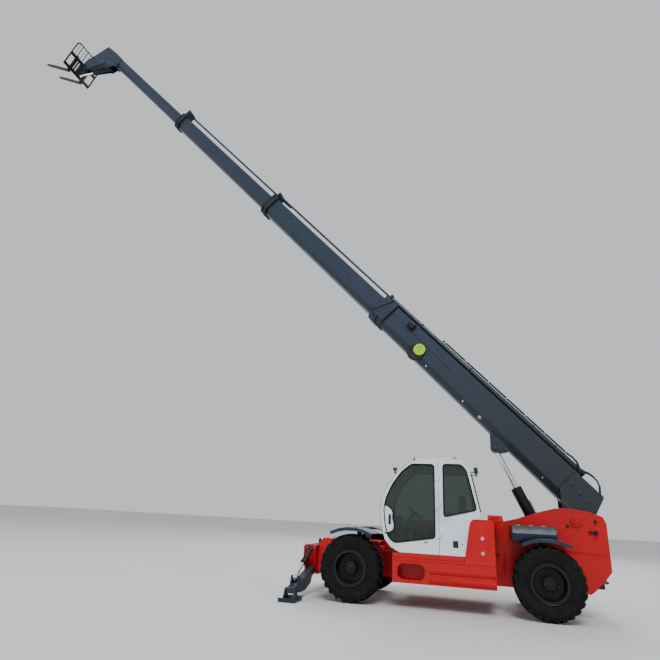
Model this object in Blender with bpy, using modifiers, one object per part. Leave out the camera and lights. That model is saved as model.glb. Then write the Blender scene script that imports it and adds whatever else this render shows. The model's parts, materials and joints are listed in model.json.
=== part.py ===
"""Telehandler with a four-section telescopic boom, stabilisers and a fork carriage.

Metres, +Z up. The machine faces -X, its cab is on the -Y side, and the ground is Z = 0.
"Machine coordinates" have X = 0 halfway between the axles; the empty "machine" shifts
them so that the whole object's box is centred on the origin. Inside the boom, s runs
from the boom's pivot towards the forks and h stands square to it, upwards.
"""

from math import atan2, cos, hypot, pi, radians, sin

import bmesh
import bpy
from mathutils import Matrix, Vector

LEFT, RIGHT = -1, 1
SIDES = ((LEFT, "left"), (RIGHT, "right"))
SEAT = 0.0003           # gap between two pieces that touch
RUNNING = 0.0005        # gap at pins, bores and slide pads
PIN_SEGMENTS = 20       # facets round a pin, rod or barrel

# Wheels and axles
WHEELBASE = 3.45
TYRE_RADIUS = 0.59
TYRE_WIDTH = 0.445
WHEEL_CENTRE = 0.985    # from the centre line to the middle of a tyre
KINGPIN = 0.70          # from the centre line to a kingpin
TYRE_SEGMENTS = 32
RIM_SEGMENTS = 24
RIM_RADIUS = 0.29       # bead seat
FLANGE_RADIUS = 0.32
RIM_HALF = 0.200        # half the distance between the flanges
FLANGE = 0.014
HUB_RADIUS = 0.115
HUB_OUT = 0.165         # outer face of the hub, outboard of the wheel's middle
HUB_IN = -0.020
AXLE_RADIUS = 0.10
KINGPIN_RADIUS = 0.085
KINGPIN_HALF = 0.1345
ARM_THICKNESS = 0.055
SPINDLE_RADIUS = 0.12
SADDLE_INNER = 0.22     # the lift cylinders pass between an axle's two saddles

# Chassis
FRAME_HALF = 0.40       # outer face of the side plates
FRAME_PLATE = 0.025
FRAME_LOW = 0.42
FRAME_MID = 0.90        # top of the frame under the cab
FRAME_FRONT_TOP = 1.05
ARCH_TOP = 0.80         # underside of the frame over an axle
FRAME_FRONT = -2.58
FRAME_REAR = 2.84
TOWER_FRONT = 0.95
FLOOR_PLATE = 0.02
BULKHEAD = 0.03
FENDER_LOW = 1.195
FENDER_THICKNESS = 0.012
FENDER_INNER = 0.425
BODY_SIDE = 1.205       # outermost face of skirt, tank and engine bay
PANEL = 0.008

# Cab
CAB_OUT = 1.17
CAB_IN = 0.33
CAB_LOW = 0.92
CAB_WALL = 0.04
CAB_ROOF_Z = 2.60
REAR_CORNER = (0.66, 1.62)
REAR_GLASS_LOW = 1.70
REAR_GLASS_HIGH = 2.34
DOOR_REAR = -0.08
DOOR_GAP = 0.008
GLASS = 0.008
END_GAP = 0.0015        # beyond the square end of a slanted pane

# Boom
PIVOT_X = 2.33
PIVOT_Z = 1.60
BOOM_ANGLE = radians(46.4)
SECTION_TOP = 0.72      # h of the outer section's top face
SECTION_DEPTH = 0.60
SECTION_HALF = 0.26
SECTION_STEP = 0.045    # each section is this much inside the one before it
CHAMFER_IN = 0.11
CHAMFER_UP = 0.13
WALLS = (0.010, 0.009, 0.008, 0.007)
TAILS = (-0.05, 4.95, 9.75, 14.50)
HEADS = (5.98, 10.55, 15.47, 19.75)
COLLAR = 0.19
COLLAR_PROUD = 0.035
PAD_LENGTH = 0.16
TUBE_H = 0.80           # the extension tubes that lie over the boom
TUBE_Y = 0.10
BARREL_RADIUS = 0.055
TUBE_RADIUS = 0.028
TUBE_SEGMENTS = 14

# Lift cylinders
LIFT_Y = 0.105
LIFT_BASE = (2.00, 0.80)
LIFT_PIN_S = 1.89
LIFT_PIN_H = -0.045
LIFT_BARREL = 0.080
LIFT_ROD = 0.045
LIFT_SHOWN = 0.83       # length of bare rod at this boom angle
LIFT_INSERT = 0.45
LIFT_SHAFT = 0.050

# Boom head, tilt cylinder and fork carriage
HEAD_HALF = 0.135
HEAD_PLATE = 0.014
TILT_PIVOT = (20.98, -0.52)
TILT_BASE = (20.00, 0.06)
TILT_EYE = (20.90, -0.885)
TILT_BARREL = 0.055
TILT_ROD = 0.030
TILT_SHOWN = 0.565
TILT_INSERT = 0.17      # length of rod inside the barrel
FORK_ANGLE = radians(26.5)
FORK_LENGTH = 1.20
FORK_WIDTH = 0.125
FORK_THICKNESS = 0.045
FORK_SPREAD = 0.30
PIVOT_ABOVE_FORK = 0.50
PIVOT_BEHIND_SHANK = 0.30
CARRIAGE_HALF = 0.625
CARRIAGE_HEIGHT = 0.62
BACKREST_TOP = 1.08

# Stabilisers
STAB_X = -2.72
STAB_PLATE_GAP = 0.10   # half the distance between the two bracket plates
STAB_PLATE = 0.02
LEG_PIVOT = (0.33, 0.45)
LEG_FOOT = (1.55, 0.17)
LEG_EYE = (1.33, 0.38)
STAB_BASE = (0.50, 0.84)
LEG_HALF = 0.075
SLOT_HALF = 0.056       # half the width of the slot that the cylinder folds into
STAB_BARREL = 0.050
STAB_ROD = 0.030
STAB_SHOWN = 0.44
STAB_INSERT = 0.05
PAD_LIFT = 0.001


def boom_x(s, h):
    """X of a boom point in machine coordinates."""
    return PIVOT_X - s * cos(BOOM_ANGLE) + h * sin(BOOM_ANGLE)


TILT_PIVOT_X = boom_x(*TILT_PIVOT)
FORK_TIP_X = (TILT_PIVOT_X - (PIVOT_BEHIND_SHANK + FORK_LENGTH) * cos(FORK_ANGLE)
              - PIVOT_ABOVE_FORK * sin(FORK_ANGLE))
CENTRE_X = (FORK_TIP_X + FRAME_REAR) / 2


def clear_scene():
    for obj in list(bpy.data.objects):
        bpy.data.objects.remove(obj, do_unlink=True)


def collection(name):
    made = bpy.data.collections.new(name)
    bpy.context.scene.collection.children.link(made)
    return made


def material(name, colour, roughness, metallic=0.0, alpha=1.0):
    made = bpy.data.materials.new(name)
    made.use_nodes = True
    shader = made.node_tree.nodes["Principled BSDF"]
    shader.inputs["Base Color"].default_value = (*colour, 1.0)
    shader.inputs["Roughness"].default_value = roughness
    shader.inputs["Metallic"].default_value = metallic
    shader.inputs["Alpha"].default_value = alpha
    return made


clear_scene()
PARTS = collection("telehandler")
CUTTERS = collection("cutters")
RED = material("red_paint", (0.62, 0.02, 0.01), 0.35)
WHITE = material("white_paint", (0.80, 0.84, 0.88), 0.35)
SLATE = material("slate_paint", (0.035, 0.060, 0.090), 0.40)
BLACK = material("black_paint", (0.015, 0.015, 0.017), 0.50)
TYRE = material("tyre_rubber", (0.018, 0.018, 0.019), 0.85)
CHROME = material("chrome", (0.80, 0.80, 0.82), 0.12, 1.0)
IRON = material("cast_iron", (0.10, 0.10, 0.10), 0.60, 0.8)
TINTED = material("tinted_glass", (0.10, 0.14, 0.12), 0.05, 0.0, 0.4)
SEAT_CLOTH = material("seat_cloth", (0.03, 0.03, 0.03), 0.90)
PLASTIC = material("plastic", (0.05, 0.05, 0.05), 0.60)


def empty(name, location, parent=None, rotation=(0.0, 0.0, 0.0)):
    made = bpy.data.objects.new(name, None)
    PARTS.objects.link(made)
    made.parent = parent
    made.location = location
    made.rotation_euler = rotation
    return made


def place(name, mesh, finish, parent, location=(0.0, 0.0, 0.0), rotation=(0.0, 0.0, 0.0)):
    made = bpy.data.objects.new(name, mesh)
    made.parent = parent
    made.location = location
    made.rotation_euler = rotation
    if finish is None:
        CUTTERS.objects.link(made)
        made.hide_render = True
        made.display_type = "WIRE"
    else:
        PARTS.objects.link(made)
        mesh.materials.append(finish)
    return made


def combine(base, others, operation):
    for other in others:
        step = base.modifiers.new(operation.lower() + "_" + other.name, "BOOLEAN")
        step.operation = operation
        step.object = other
        step.solver = "EXACT"
    return base


def joined(base, *others):
    return combine(base, others, "UNION")


def cut(base, *others):
    return combine(base, others, "DIFFERENCE")


def box(name, low, high, finish, parent, location=(0.0, 0.0, 0.0), rotation=(0.0, 0.0, 0.0)):
    """A box between two corners, given in the parent's frame from location."""
    low, high = Vector(low), Vector(high)
    size = [abs(value) for value in high - low]
    made = bmesh.new()
    bmesh.ops.create_cube(made, size=1.0)
    bmesh.ops.scale(made, vec=size, verts=made.verts)
    bmesh.ops.translate(made, vec=(low + high) / 2, verts=made.verts)
    mesh = bpy.data.meshes.new(name)
    made.to_mesh(mesh)
    made.free()
    return place(name, mesh, finish, parent, location, rotation)


def rod(name, radius, start, end, finish, parent, segments=PIN_SEGMENTS):
    """A straight round bar between two points of the parent's frame."""
    start, end = Vector(start), Vector(end)
    along = end - start
    turn = Vector((0.0, 0.0, 1.0)).rotation_difference(along).to_matrix().to_4x4()
    made = bmesh.new()
    bmesh.ops.create_cone(
        made, cap_ends=True, segments=segments, radius1=radius, radius2=radius,
        depth=along.length, matrix=Matrix.Translation((start + end) / 2) @ turn,
    )
    mesh = bpy.data.meshes.new(name)
    made.to_mesh(mesh)
    made.free()
    mesh.shade_smooth()
    mesh.set_sharp_from_angle(angle=radians(35))
    return place(name, mesh, finish, parent)


def bore(radius, segments=PIN_SEGMENTS):
    """Radius of a faceted hole that clears a faceted pin at any turn."""
    return (radius + RUNNING) / cos(pi / segments)


def turned(name, profile, finish, parent, location, outboard, segments=TYRE_SEGMENTS,
           closed=False, half_step=False):
    """A solid of revolution about Y from (radius, outboard distance) points.

    The points run down the outer side, from the outboard end to the inboard end.
    """
    start = pi / segments if half_step else 0.0
    grow = 1.0 / cos(pi / segments) if half_step else 1.0
    made = bmesh.new()
    points = [made.verts.new((r * grow * cos(start), r * grow * sin(start), z))
              for r, z in profile]
    for first, second in zip(points, points[1:]):
        made.edges.new((first, second))
    if closed:
        made.edges.new((points[-1], points[0]))
    mesh = bpy.data.meshes.new(name)
    made.to_mesh(mesh)
    made.free()
    obj = place(name, mesh, finish, parent, location, (-outboard * pi / 2, 0.0, 0.0))
    spin = obj.modifiers.new("turn", "SCREW")
    spin.axis = "Z"
    spin.angle = 2 * pi
    spin.steps = segments
    spin.render_steps = segments
    spin.use_merge_vertices = True
    spin.merge_threshold = 0.0001
    spin.use_smooth_shade = True
    return obj


def plate(name, outline, middle, thickness, finish, parent, facing="Y", holes=()):
    """A flat plate from an outline, extruded to both sides of middle.

    facing Y: the outline is (x, z). facing X: the outline is (y, z).
    """
    curve = bpy.data.curves.new(name, "CURVE")
    curve.dimensions = "2D"
    curve.fill_mode = "BOTH"
    curve.extrude = thickness / 2
    for loop in (outline, *holes):
        spline = curve.splines.new("POLY")
        spline.points.add(len(loop) - 1)
        for point, (across, up) in zip(spline.points, loop):
            point.co = (across, up, 0.0, 1.0)
        spline.use_cyclic_u = True
    source = bpy.data.objects.new(name + "_outline", curve)
    PARTS.objects.link(source)
    if facing == "Y":
        turn = Matrix.Rotation(pi / 2, 4, "X")
        shift = Matrix.Translation((0.0, middle, 0.0))
    else:
        turn = Matrix.Rotation(pi / 2, 4, "Z") @ Matrix.Rotation(pi / 2, 4, "X")
        shift = Matrix.Translation((middle, 0.0, 0.0))
    bpy.context.view_layer.update()
    ready = source.evaluated_get(bpy.context.evaluated_depsgraph_get())
    mesh = bpy.data.meshes.new_from_object(ready)
    mesh.name = name
    bpy.data.objects.remove(source, do_unlink=True)
    made = bmesh.new()
    made.from_mesh(mesh)
    bmesh.ops.remove_doubles(made, verts=made.verts, dist=0.00001)
    bmesh.ops.dissolve_limit(made, angle_limit=0.001, verts=made.verts, edges=made.edges)
    bmesh.ops.transform(made, matrix=shift @ turn, verts=made.verts)
    bmesh.ops.recalc_face_normals(made, faces=made.faces)
    made.to_mesh(mesh)
    made.free()
    return place(name, mesh, finish, parent)


def arc(centre, radius, first, last, count):
    """Points on a round stretch of an outline, angles in degrees."""
    angles = [radians(first + (last - first) * i / count) for i in range(count + 1)]
    return [(centre[0] + radius * cos(a), centre[1] + radius * sin(a)) for a in angles]


def circle(centre, radius, segments=PIN_SEGMENTS):
    return arc(centre, radius, 0.0, 360.0, segments)[:-1]


def inset(points, distance):
    """An outline moved inwards, for points that run anticlockwise."""
    moved = []
    count = len(points)
    for i, here in enumerate(points):
        before = Vector(here) - Vector(points[i - 1])
        after = Vector(points[(i + 1) % count]) - Vector(here)
        before.normalize()
        after.normalize()
        in_before = Vector((-before.y, before.x))
        in_after = Vector((-after.y, after.x))
        middle = in_before + in_after
        middle.normalize()
        moved.append(tuple(Vector(here) + middle * (distance / middle.dot(in_before))))
    return moved


MACHINE = empty("machine", (-CENTRE_X, 0.0, 0.0))


# ---------------------------------------------------------------- wheels and axles

def tyre_profile():
    half = TYRE_WIDTH / 2
    bead = RIM_HALF - SEAT
    seat = RIM_RADIUS + SEAT
    outer = [(FLANGE_RADIUS, bead), (0.40, half), (0.52, half), (0.575, half - 0.022),
             (TYRE_RADIUS, half - 0.07)]
    inner = [(r, -z) for r, z in reversed(outer)]
    return [(seat, bead), *outer, *inner, (seat, -bead)]


def rim_profile():
    lip = RIM_HALF + FLANGE
    barrel = RIM_RADIUS - 0.022
    return [
        (0.0, HUB_OUT), (HUB_RADIUS - 0.02, HUB_OUT), (HUB_RADIUS, HUB_OUT - 0.02),
        (HUB_RADIUS, 0.03), (barrel - 0.03, 0.03), (barrel - 0.006, 0.06), (barrel, lip),
        (FLANGE_RADIUS, lip), (FLANGE_RADIUS, RIM_HALF), (RIM_RADIUS, RIM_HALF),
        (RIM_RADIUS, -RIM_HALF), (FLANGE_RADIUS, -RIM_HALF), (FLANGE_RADIUS, -lip),
        (barrel, -lip), (barrel - 0.006, -0.03), (barrel - 0.03, 0.0), (0.14, 0.0),
        (0.14, HUB_IN), (0.0, HUB_IN),
    ]


def wheel_station(end, end_x, side, side_name):
    """One wheel with its knuckle, each parented to an empty on its joint's axis."""
    label = end + "_" + side_name
    kingpin = empty("kingpin_" + label, (end_x, side * KINGPIN, TYRE_RADIUS), MACHINE)
    offset = WHEEL_CENTRE - KINGPIN
    hub = empty("wheel_" + label, (0.0, side * offset, 0.0), kingpin)
    turned("tyre_" + label, tyre_profile(), TYRE, hub, (0.0, 0.0, 0.0), side,
           closed=True, half_step=True)
    turned("rim_" + label, rim_profile(), BLACK, hub, (0.0, 0.0, 0.0), side, RIM_SEGMENTS)
    spindle_out = offset + HUB_IN - RUNNING
    arm = KINGPIN_HALF + RUNNING
    knuckle = rod("knuckle_" + label, SPINDLE_RADIUS, (0.0, side * 0.09, 0.0),
                  (0.0, side * spindle_out, 0.0), BLACK, kingpin)
    back = box("knuckle_back_" + label, (-0.11, side * 0.10, -arm - ARM_THICKNESS),
               (0.11, side * 0.14, arm + ARM_THICKNESS), None, kingpin)
    upper = box("knuckle_upper_" + label, (-0.09, -side * 0.09, arm),
                (0.09, side * 0.12, arm + ARM_THICKNESS), None, kingpin)
    lower = box("knuckle_lower_" + label, (-0.09, -side * 0.09, -arm - ARM_THICKNESS),
                (0.09, side * 0.12, -arm), None, kingpin)
    joined(knuckle, back, upper, lower)


def axle(end, end_x):
    name = "axle_" + end
    centre = (end_x, 0.0, TYRE_RADIUS)
    hanger = empty(name + "_centre", centre, MACHINE)
    beam = rod(name, AXLE_RADIUS, (0.0, -KINGPIN, 0.0), (0.0, KINGPIN, 0.0), BLACK, hanger)
    pieces = [rod(name + "_differential", 0.21, (0.0, -0.15, 0.0), (0.0, 0.15, 0.0), None, hanger)]
    for side, side_name in SIDES:
        near, far = sorted((side * SADDLE_INNER, side * FRAME_HALF))
        pieces.append(box(name + "_saddle_" + side_name, (-0.13, near, 0.0),
                          (0.13, far, ARCH_TOP - TYRE_RADIUS - SEAT), None, hanger))
        pieces.append(rod(name + "_boss_" + side_name, KINGPIN_RADIUS,
                          (0.0, side * KINGPIN, -KINGPIN_HALF),
                          (0.0, side * KINGPIN, KINGPIN_HALF), None, hanger))
    joined(beam, *pieces)


# ---------------------------------------------------------------- chassis

def side_outline():
    reach = 0.40
    run = 0.10
    front, rear = -WHEELBASE / 2, WHEELBASE / 2
    return [
        (FRAME_FRONT, FRAME_LOW), (front - reach, FRAME_LOW),
        (front - reach + run, ARCH_TOP), (front + reach - run, ARCH_TOP),
        (front + reach, FRAME_LOW), (rear - reach, FRAME_LOW),
        (rear - reach + run, ARCH_TOP), (rear + reach - run, ARCH_TOP),
        (rear + reach, 0.45), (2.46, 0.40), (2.57, 0.49), (2.73, 0.66), (FRAME_REAR, 0.79),
        (FRAME_REAR, 1.59), (2.79, 1.71), (2.59, 1.78), (2.25, 1.83), (1.99, 1.82),
        (1.73, 1.75), (1.36, 1.62), (1.05, 1.54), (TOWER_FRONT, 1.40),
        (TOWER_FRONT - 0.05, FRAME_MID), (-1.25, FRAME_MID), (-1.35, FRAME_FRONT_TOP),
        (FRAME_FRONT + 0.10, FRAME_FRONT_TOP), (FRAME_FRONT, FRAME_FRONT_TOP - 0.10),
    ]


def chassis():
    inner = FRAME_HALF - FRAME_PLATE
    middle = FRAME_HALF - FRAME_PLATE / 2
    frame = plate("chassis_frame", side_outline(), -middle, FRAME_PLATE, RED, MACHINE)
    other = plate("frame_side_right", side_outline(), middle, FRAME_PLATE, None, MACHINE)
    pieces = [other]

    def web(name, low, high):
        pieces.append(box(name, low, high, None, MACHINE))

    lap = inner + FRAME_PLATE / 2
    web("frame_floor", (-1.34, -lap, FRAME_LOW), (1.34, lap, FRAME_LOW + FLOOR_PLATE))
    web("frame_front_floor", (FRAME_FRONT, -lap, 0.60), (-2.08, lap, 0.60 + FLOOR_PLATE))
    web("frame_front_top", (-2.43, -lap, FRAME_FRONT_TOP - 0.03),
        (-1.38, lap, FRAME_FRONT_TOP - 0.01))
    web("frame_front_arch", (-2.00, -lap, ARCH_TOP), (-1.45, lap, ARCH_TOP + FLOOR_PLATE))
    web("frame_rear_arch", (1.45, -lap, ARCH_TOP), (1.72, lap, ARCH_TOP + FLOOR_PLATE))
    for number, (x, low, high) in enumerate((
            (FRAME_FRONT + 0.004, FRAME_LOW + 0.01, 0.95), (-1.36, 0.50, 0.95),
            (-0.40, FRAME_LOW, 0.86), (0.60, FRAME_LOW, 0.86), (1.36, 0.50, 1.00))):
        web("frame_bulkhead_%d" % number, (x, -lap, low), (x + BULKHEAD, lap, high))
    for x in (-0.70, 0.30):
        for side, side_name in SIDES:
            low, high = sorted((side * (FRAME_HALF - 0.02), side * (CAB_IN + 0.01)))
            web("cab_rest_%s_%d" % (side_name, round(x * 10)), (x, low, FRAME_MID - 0.02),
                (x + 0.12, high, CAB_LOW - SEAT))
    pieces.append(rod("frame_lift_shaft", LIFT_SHAFT, (LIFT_BASE[0], -lap, LIFT_BASE[1]),
                      (LIFT_BASE[0], lap, LIFT_BASE[1]), None, MACHINE))
    for side, side_name in SIDES:
        pieces.append(rod("frame_pivot_boss_" + side_name, 0.095,
                          (PIVOT_X, side * (FRAME_HALF - 0.01), PIVOT_Z),
                          (PIVOT_X, side * (FRAME_HALF + 0.02), PIVOT_Z), None, MACHINE))
    joined(frame, *pieces)
    box("counterweight", (2.35, -inner + SEAT, 0.50), (2.70, inner - SEAT, 1.15), IRON, MACHINE)


def fender(end, end_x, side, side_name):
    """A shallow arched guard over a tyre, on a bracket from the frame's side plate."""
    name = "fender_%s_%s" % (end, side_name)
    low, rise, half = FENDER_LOW, 0.085, 0.40
    crown = [(-half, low), (-half * 0.6, low + rise * 0.7), (-half * 0.25, low + rise),
             (half * 0.25, low + rise), (half * 0.6, low + rise * 0.7), (half, low)]
    outline = [(end_x + x, z) for x, z in crown]
    outline += [(end_x + x, z + FENDER_THICKNESS) for x, z in reversed(crown)]
    width = BODY_SIDE - FENDER_INNER - 0.01
    middle = side * (FENDER_INNER + width / 2)
    guard = plate(name, outline, middle, width, SLATE, MACHINE)
    foot = FRAME_FRONT_TOP if end == "front" else low
    bracket = box(name + "_bracket", (end_x - 0.05, side * (FRAME_HALF + SEAT), foot - 0.16),
                  (end_x + 0.05, side * (FRAME_HALF + 0.04), low + rise + FENDER_THICKNESS / 2),
                  None, MACHINE)
    joined(guard, bracket)


def open_box(name, low, high, wall, open_side, finish, parent):
    """A sheet-metal box without the wall on open_side, such as "-z"."""
    body = box(name, low, high, finish, parent)
    axis = "xyz".index(open_side[1])
    inside_low = [value + wall for value in low]
    inside_high = [value - wall for value in high]
    if open_side[0] == "-":
        inside_low[axis] = low[axis] - wall
    else:
        inside_high[axis] = high[axis] + wall
    return cut(body, box(name + "_inside", inside_low, inside_high, None, parent))


def bodywork():
    """Skirt, tank, toolbox and engine bay along the frame."""
    skirt = open_box("side_skirt", (-0.93, -BODY_SIDE, 0.425), (0.875, -FRAME_HALF - SEAT, 0.825),
                     PANEL, "-z", RED, MACHINE)
    step = plate("step_recess", [(-0.84, 0.54), (-0.76, 0.47), (-0.42, 0.47), (-0.34, 0.54),
                                 (-0.34, 0.68), (-0.42, 0.75), (-0.76, 0.75), (-0.84, 0.68)],
                 -BODY_SIDE, 0.10, None, MACHINE)
    cut(skirt, step)
    tank = plate("rear_side_box", [(0.44, 0.8253), (0.875, 0.8253), (0.875, 1.53), (0.76, 1.53),
                                   (0.73, 1.50)],
                 -(BODY_SIDE + FRAME_HALF + SEAT) / 2, BODY_SIDE - FRAME_HALF - SEAT, RED, MACHINE)
    inner = plate("rear_side_box_inside",
                  inset([(0.44, 0.8253), (0.875, 0.8253), (0.875, 1.53), (0.76, 1.53),
                         (0.73, 1.50)], PANEL),
                  -(BODY_SIDE + FRAME_HALF + SEAT) / 2 + 0.03, BODY_SIDE - FRAME_HALF - SEAT,
                  None, MACHINE)
    cut(tank, inner)
    toolbox = plate("toolbox", [(1.24, 1.30), (1.84, 1.30), (1.90, 1.38), (1.84, 1.51),
                                (1.24, 1.51), (1.18, 1.38)],
                    -(BODY_SIDE - 0.03 + FRAME_HALF + 0.055) / 2,
                    BODY_SIDE - 0.03 - FRAME_HALF - 0.055, SLATE, MACHINE)
    hollow = box("toolbox_inside", (1.26, -BODY_SIDE + 0.05, 1.20), (1.82, -FRAME_HALF - 0.07, 1.49),
                 None, MACHINE)
    hanger = box("toolbox_hanger", (1.40, -FRAME_HALF - 0.08, 1.42), (1.70, -FRAME_HALF - SEAT, 1.46),
                 None, MACHINE)
    cut(toolbox, hollow)
    joined(toolbox, hanger)
    open_box("engine_bay", (-0.93, FRAME_HALF + SEAT, 0.425), (0.875, BODY_SIDE, 1.30),
             PANEL, "+z", RED, MACHINE)
    box("engine_block", (-0.35, FRAME_HALF + 0.04, 0.425 + PANEL + SEAT), (0.65, 1.00, 1.22), IRON,
        MACHINE)
    hinge = empty("hood_hinge", (0.0, FRAME_HALF + 0.02, 1.315), MACHINE)
    lid = open_box("engine_hood", (-0.93, 0.02, -0.0145), (0.875, BODY_SIDE - FRAME_HALF - 0.02, 0.17),
                   PANEL, "-z", RED, hinge)
    bar = rod("engine_hood_hinge", 0.012, (-0.90, 0.0, 0.0), (-0.70, 0.0, 0.0), None, hinge)
    link = box("engine_hood_link", (-0.90, 0.0, -0.008), (-0.70, 0.025, 0.008), None, hinge)
    joined(lid, link, bar)


# ---------------------------------------------------------------- cab

def cab_front_path():
    """Front edge of the cab's side view, from the floor to the roof."""
    return [(-0.80, CAB_LOW), (-0.97, 1.00), (-1.08, 1.13), (-1.14, 1.34), (-1.17, 1.66),
            (-1.13, 1.87), (-1.01, 2.12), (-0.82, 2.37), (-0.64, 2.52), (-0.52, 2.565)]


def cab_rear_path():
    """Rear edge of the cab's side view, from the roof to the floor."""
    return [(0.14, CAB_ROOF_Z), (0.38, 2.57), (0.48, 2.46), REAR_CORNER, (0.42, CAB_LOW)]


def cab_outline():
    return list(reversed(cab_front_path() + cab_rear_path()))


def split_outline(points, x_limit, keep_front):
    """The part of an outline in front of x_limit, or behind it."""
    kept = []
    count = len(points)
    for i, here in enumerate(points):
        ahead = points[(i + 1) % count]
        inside = (here[0] <= x_limit) == keep_front
        if inside:
            kept.append(here)
        if (here[0] - x_limit) * (ahead[0] - x_limit) < 0:
            share = (x_limit - here[0]) / (ahead[0] - here[0])
            kept.append((x_limit, here[1] + share * (ahead[1] - here[1])))
    return kept


def window_right():
    return [(-0.98, 1.30), (0.34, 1.30), (0.54, 1.66), (0.40, 2.38), (-0.62, 2.38), (-0.92, 2.05),
            (-1.04, 1.70)]


def window_quarter():
    return [(0.01, 1.57), (0.59, 1.71), (0.43, 2.40), (0.34, 2.50), (0.01, 2.50)]


def window_door():
    return [(-0.90, 1.08), (-0.16, 1.20), (-0.16, 2.49), (-0.58, 2.49), (-0.77, 2.34),
            (-0.94, 2.11), (-1.06, 1.86), (-1.10, 1.66), (-1.07, 1.37), (-1.01, 1.17)]


def pane(name, outline, middle, parent):
    return plate(name, outline, middle, GLASS, TINTED, parent)


def cab():
    outline = cab_outline()
    inner = inset(outline, CAB_WALL)
    width = CAB_OUT - CAB_IN
    side_y = -(CAB_OUT + CAB_IN) / 2
    shell = plate("cab_shell", outline, side_y, width, WHITE, MACHINE)
    room = plate("cab_room", inner, side_y, width - 2 * CAB_WALL, None, MACHINE)
    door_y = -CAB_OUT + CAB_WALL / 2
    doorway = plate("cab_doorway", split_outline(outline_grown(outline), DOOR_REAR, True),
                    -CAB_OUT, 2 * CAB_WALL + DOOR_GAP, None, MACHINE)
    front = box("cab_front_opening", (-1.40, -CAB_OUT + CAB_WALL + 0.01, 1.135),
                (-0.626, -CAB_IN - CAB_WALL - 0.02, 2.70), None, MACHINE)
    rear = box("cab_rear_opening", (0.40, -CAB_OUT + CAB_WALL + 0.06, REAR_GLASS_LOW),
               (0.80, -CAB_IN - CAB_WALL - 0.06, REAR_GLASS_HIGH), None, MACHINE)
    right = plate("cab_right_opening", window_right(), -CAB_IN, 3 * CAB_WALL, None, MACHINE)
    quarter = plate("cab_quarter_opening", window_quarter(), -CAB_OUT, 3 * CAB_WALL, None, MACHINE)
    cut(shell, room, doorway, front, rear, right, quarter)
    hinge_y = -CAB_OUT - 0.018
    hinge = empty("door_hinge", (DOOR_REAR - DOOR_GAP / 2, hinge_y, 0.0), MACHINE)
    for number, z in enumerate((1.25, 1.75, 2.25)):
        knuckle = rod("cab_hinge_%d" % number, 0.012, (DOOR_REAR - DOOR_GAP / 2, hinge_y, z),
                      (DOOR_REAR - DOOR_GAP / 2, hinge_y, z + 0.05), None, MACHINE)
        leaf = box("cab_leaf_%d" % number, (DOOR_REAR - DOOR_GAP / 2, hinge_y - 0.004, z),
                   (DOOR_REAR + 0.05, -CAB_OUT + 0.01, z + 0.05), None, MACHINE)
        joined(shell, knuckle, leaf)
    door_outline = [(x - DOOR_REAR + DOOR_GAP / 2, z)
                    for x, z in split_outline(outline, DOOR_REAR - DOOR_GAP, True)]
    glass_outline = [(x - DOOR_REAR + DOOR_GAP / 2, z) for x, z in window_door()]
    door_centre = door_y - hinge_y
    door = plate("door_frame", door_outline, door_centre, CAB_WALL, WHITE, hinge)
    cut(door, plate("door_window", glass_outline, door_centre, 3 * CAB_WALL, None, hinge))
    for number, z in enumerate((1.25, 1.75, 2.25)):
        knuckle = rod("door_knuckle_%d" % number, 0.012, (0.0, 0.0, z - 0.05 - RUNNING),
                      (0.0, 0.0, z - RUNNING), None, hinge)
        leaf = box("door_leaf_%d" % number, (-0.055, -0.004, z - 0.05 - RUNNING),
                   (0.0, 0.03, z - RUNNING), None, hinge)
        joined(door, knuckle, leaf)
    pane("door_glass", inset_ccw(glass_outline, SEAT), door_centre, hinge)
    pane("side_window_right", inset_ccw(window_right(), SEAT), -CAB_IN - CAB_WALL / 2, MACHINE)
    pane("quarter_window_left", inset_ccw(window_quarter(), SEAT), door_y, MACHINE)


def outline_grown(outline):
    """The cab outline pushed out, so that the doorway is open at the cab's front edge."""
    return inset(outline, -0.05)


def inset_ccw(points, distance):
    area = sum(a[0] * b[1] - b[0] * a[1] for a, b in zip(points, points[1:] + points[:1]))
    return inset(points if area > 0 else list(reversed(points)), distance)


def ribbon(name, path, low_y, high_y, thickness, finish, parent):
    """A bent sheet that follows a side-view path, as an open surface made solid."""
    made = bmesh.new()
    rows = [(made.verts.new((x, low_y, z)), made.verts.new((x, high_y, z))) for x, z in path]
    for (a, b), (c, d) in zip(rows, rows[1:]):
        made.faces.new((a, b, d, c))
    mesh = bpy.data.meshes.new(name)
    made.to_mesh(mesh)
    made.free()
    obj = place(name, mesh, finish, parent)
    thick = obj.modifiers.new("thickness", "SOLIDIFY")
    thick.thickness = thickness
    thick.offset = 0.0
    thick.use_even_offset = True
    return obj


def cab_glazing():
    """Windscreen, roof and rear panes that follow the cab's side view."""
    outline = cab_outline()
    middle = inset(outline, CAB_WALL / 2)
    front = [p for p in reversed(middle) if p[0] < -0.50]
    low_y = -CAB_OUT + CAB_WALL + 0.01 + SEAT
    high_y = -CAB_IN - CAB_WALL - 0.02 - SEAT
    screen = [(x, z) for x, z in front if z > 1.10]
    ribbon("windscreen", screen[:-1], low_y, high_y, GLASS, TINTED, MACHINE)
    rear_low = Vector(REAR_CORNER)
    rear_high = Vector(cab_rear_path()[2])
    run = rear_high - rear_low
    inward = Vector((-run.y, run.x)).normalized() * (CAB_WALL / 2)
    start = rear_low + inward
    rear = [tuple(start + run * ((z - start.y) / run.y))
            for z in (REAR_GLASS_LOW + END_GAP, REAR_GLASS_HIGH - END_GAP)]
    ribbon("rear_window", rear, low_y + 0.05, high_y - 0.04, GLASS, TINTED, MACHINE)


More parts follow.
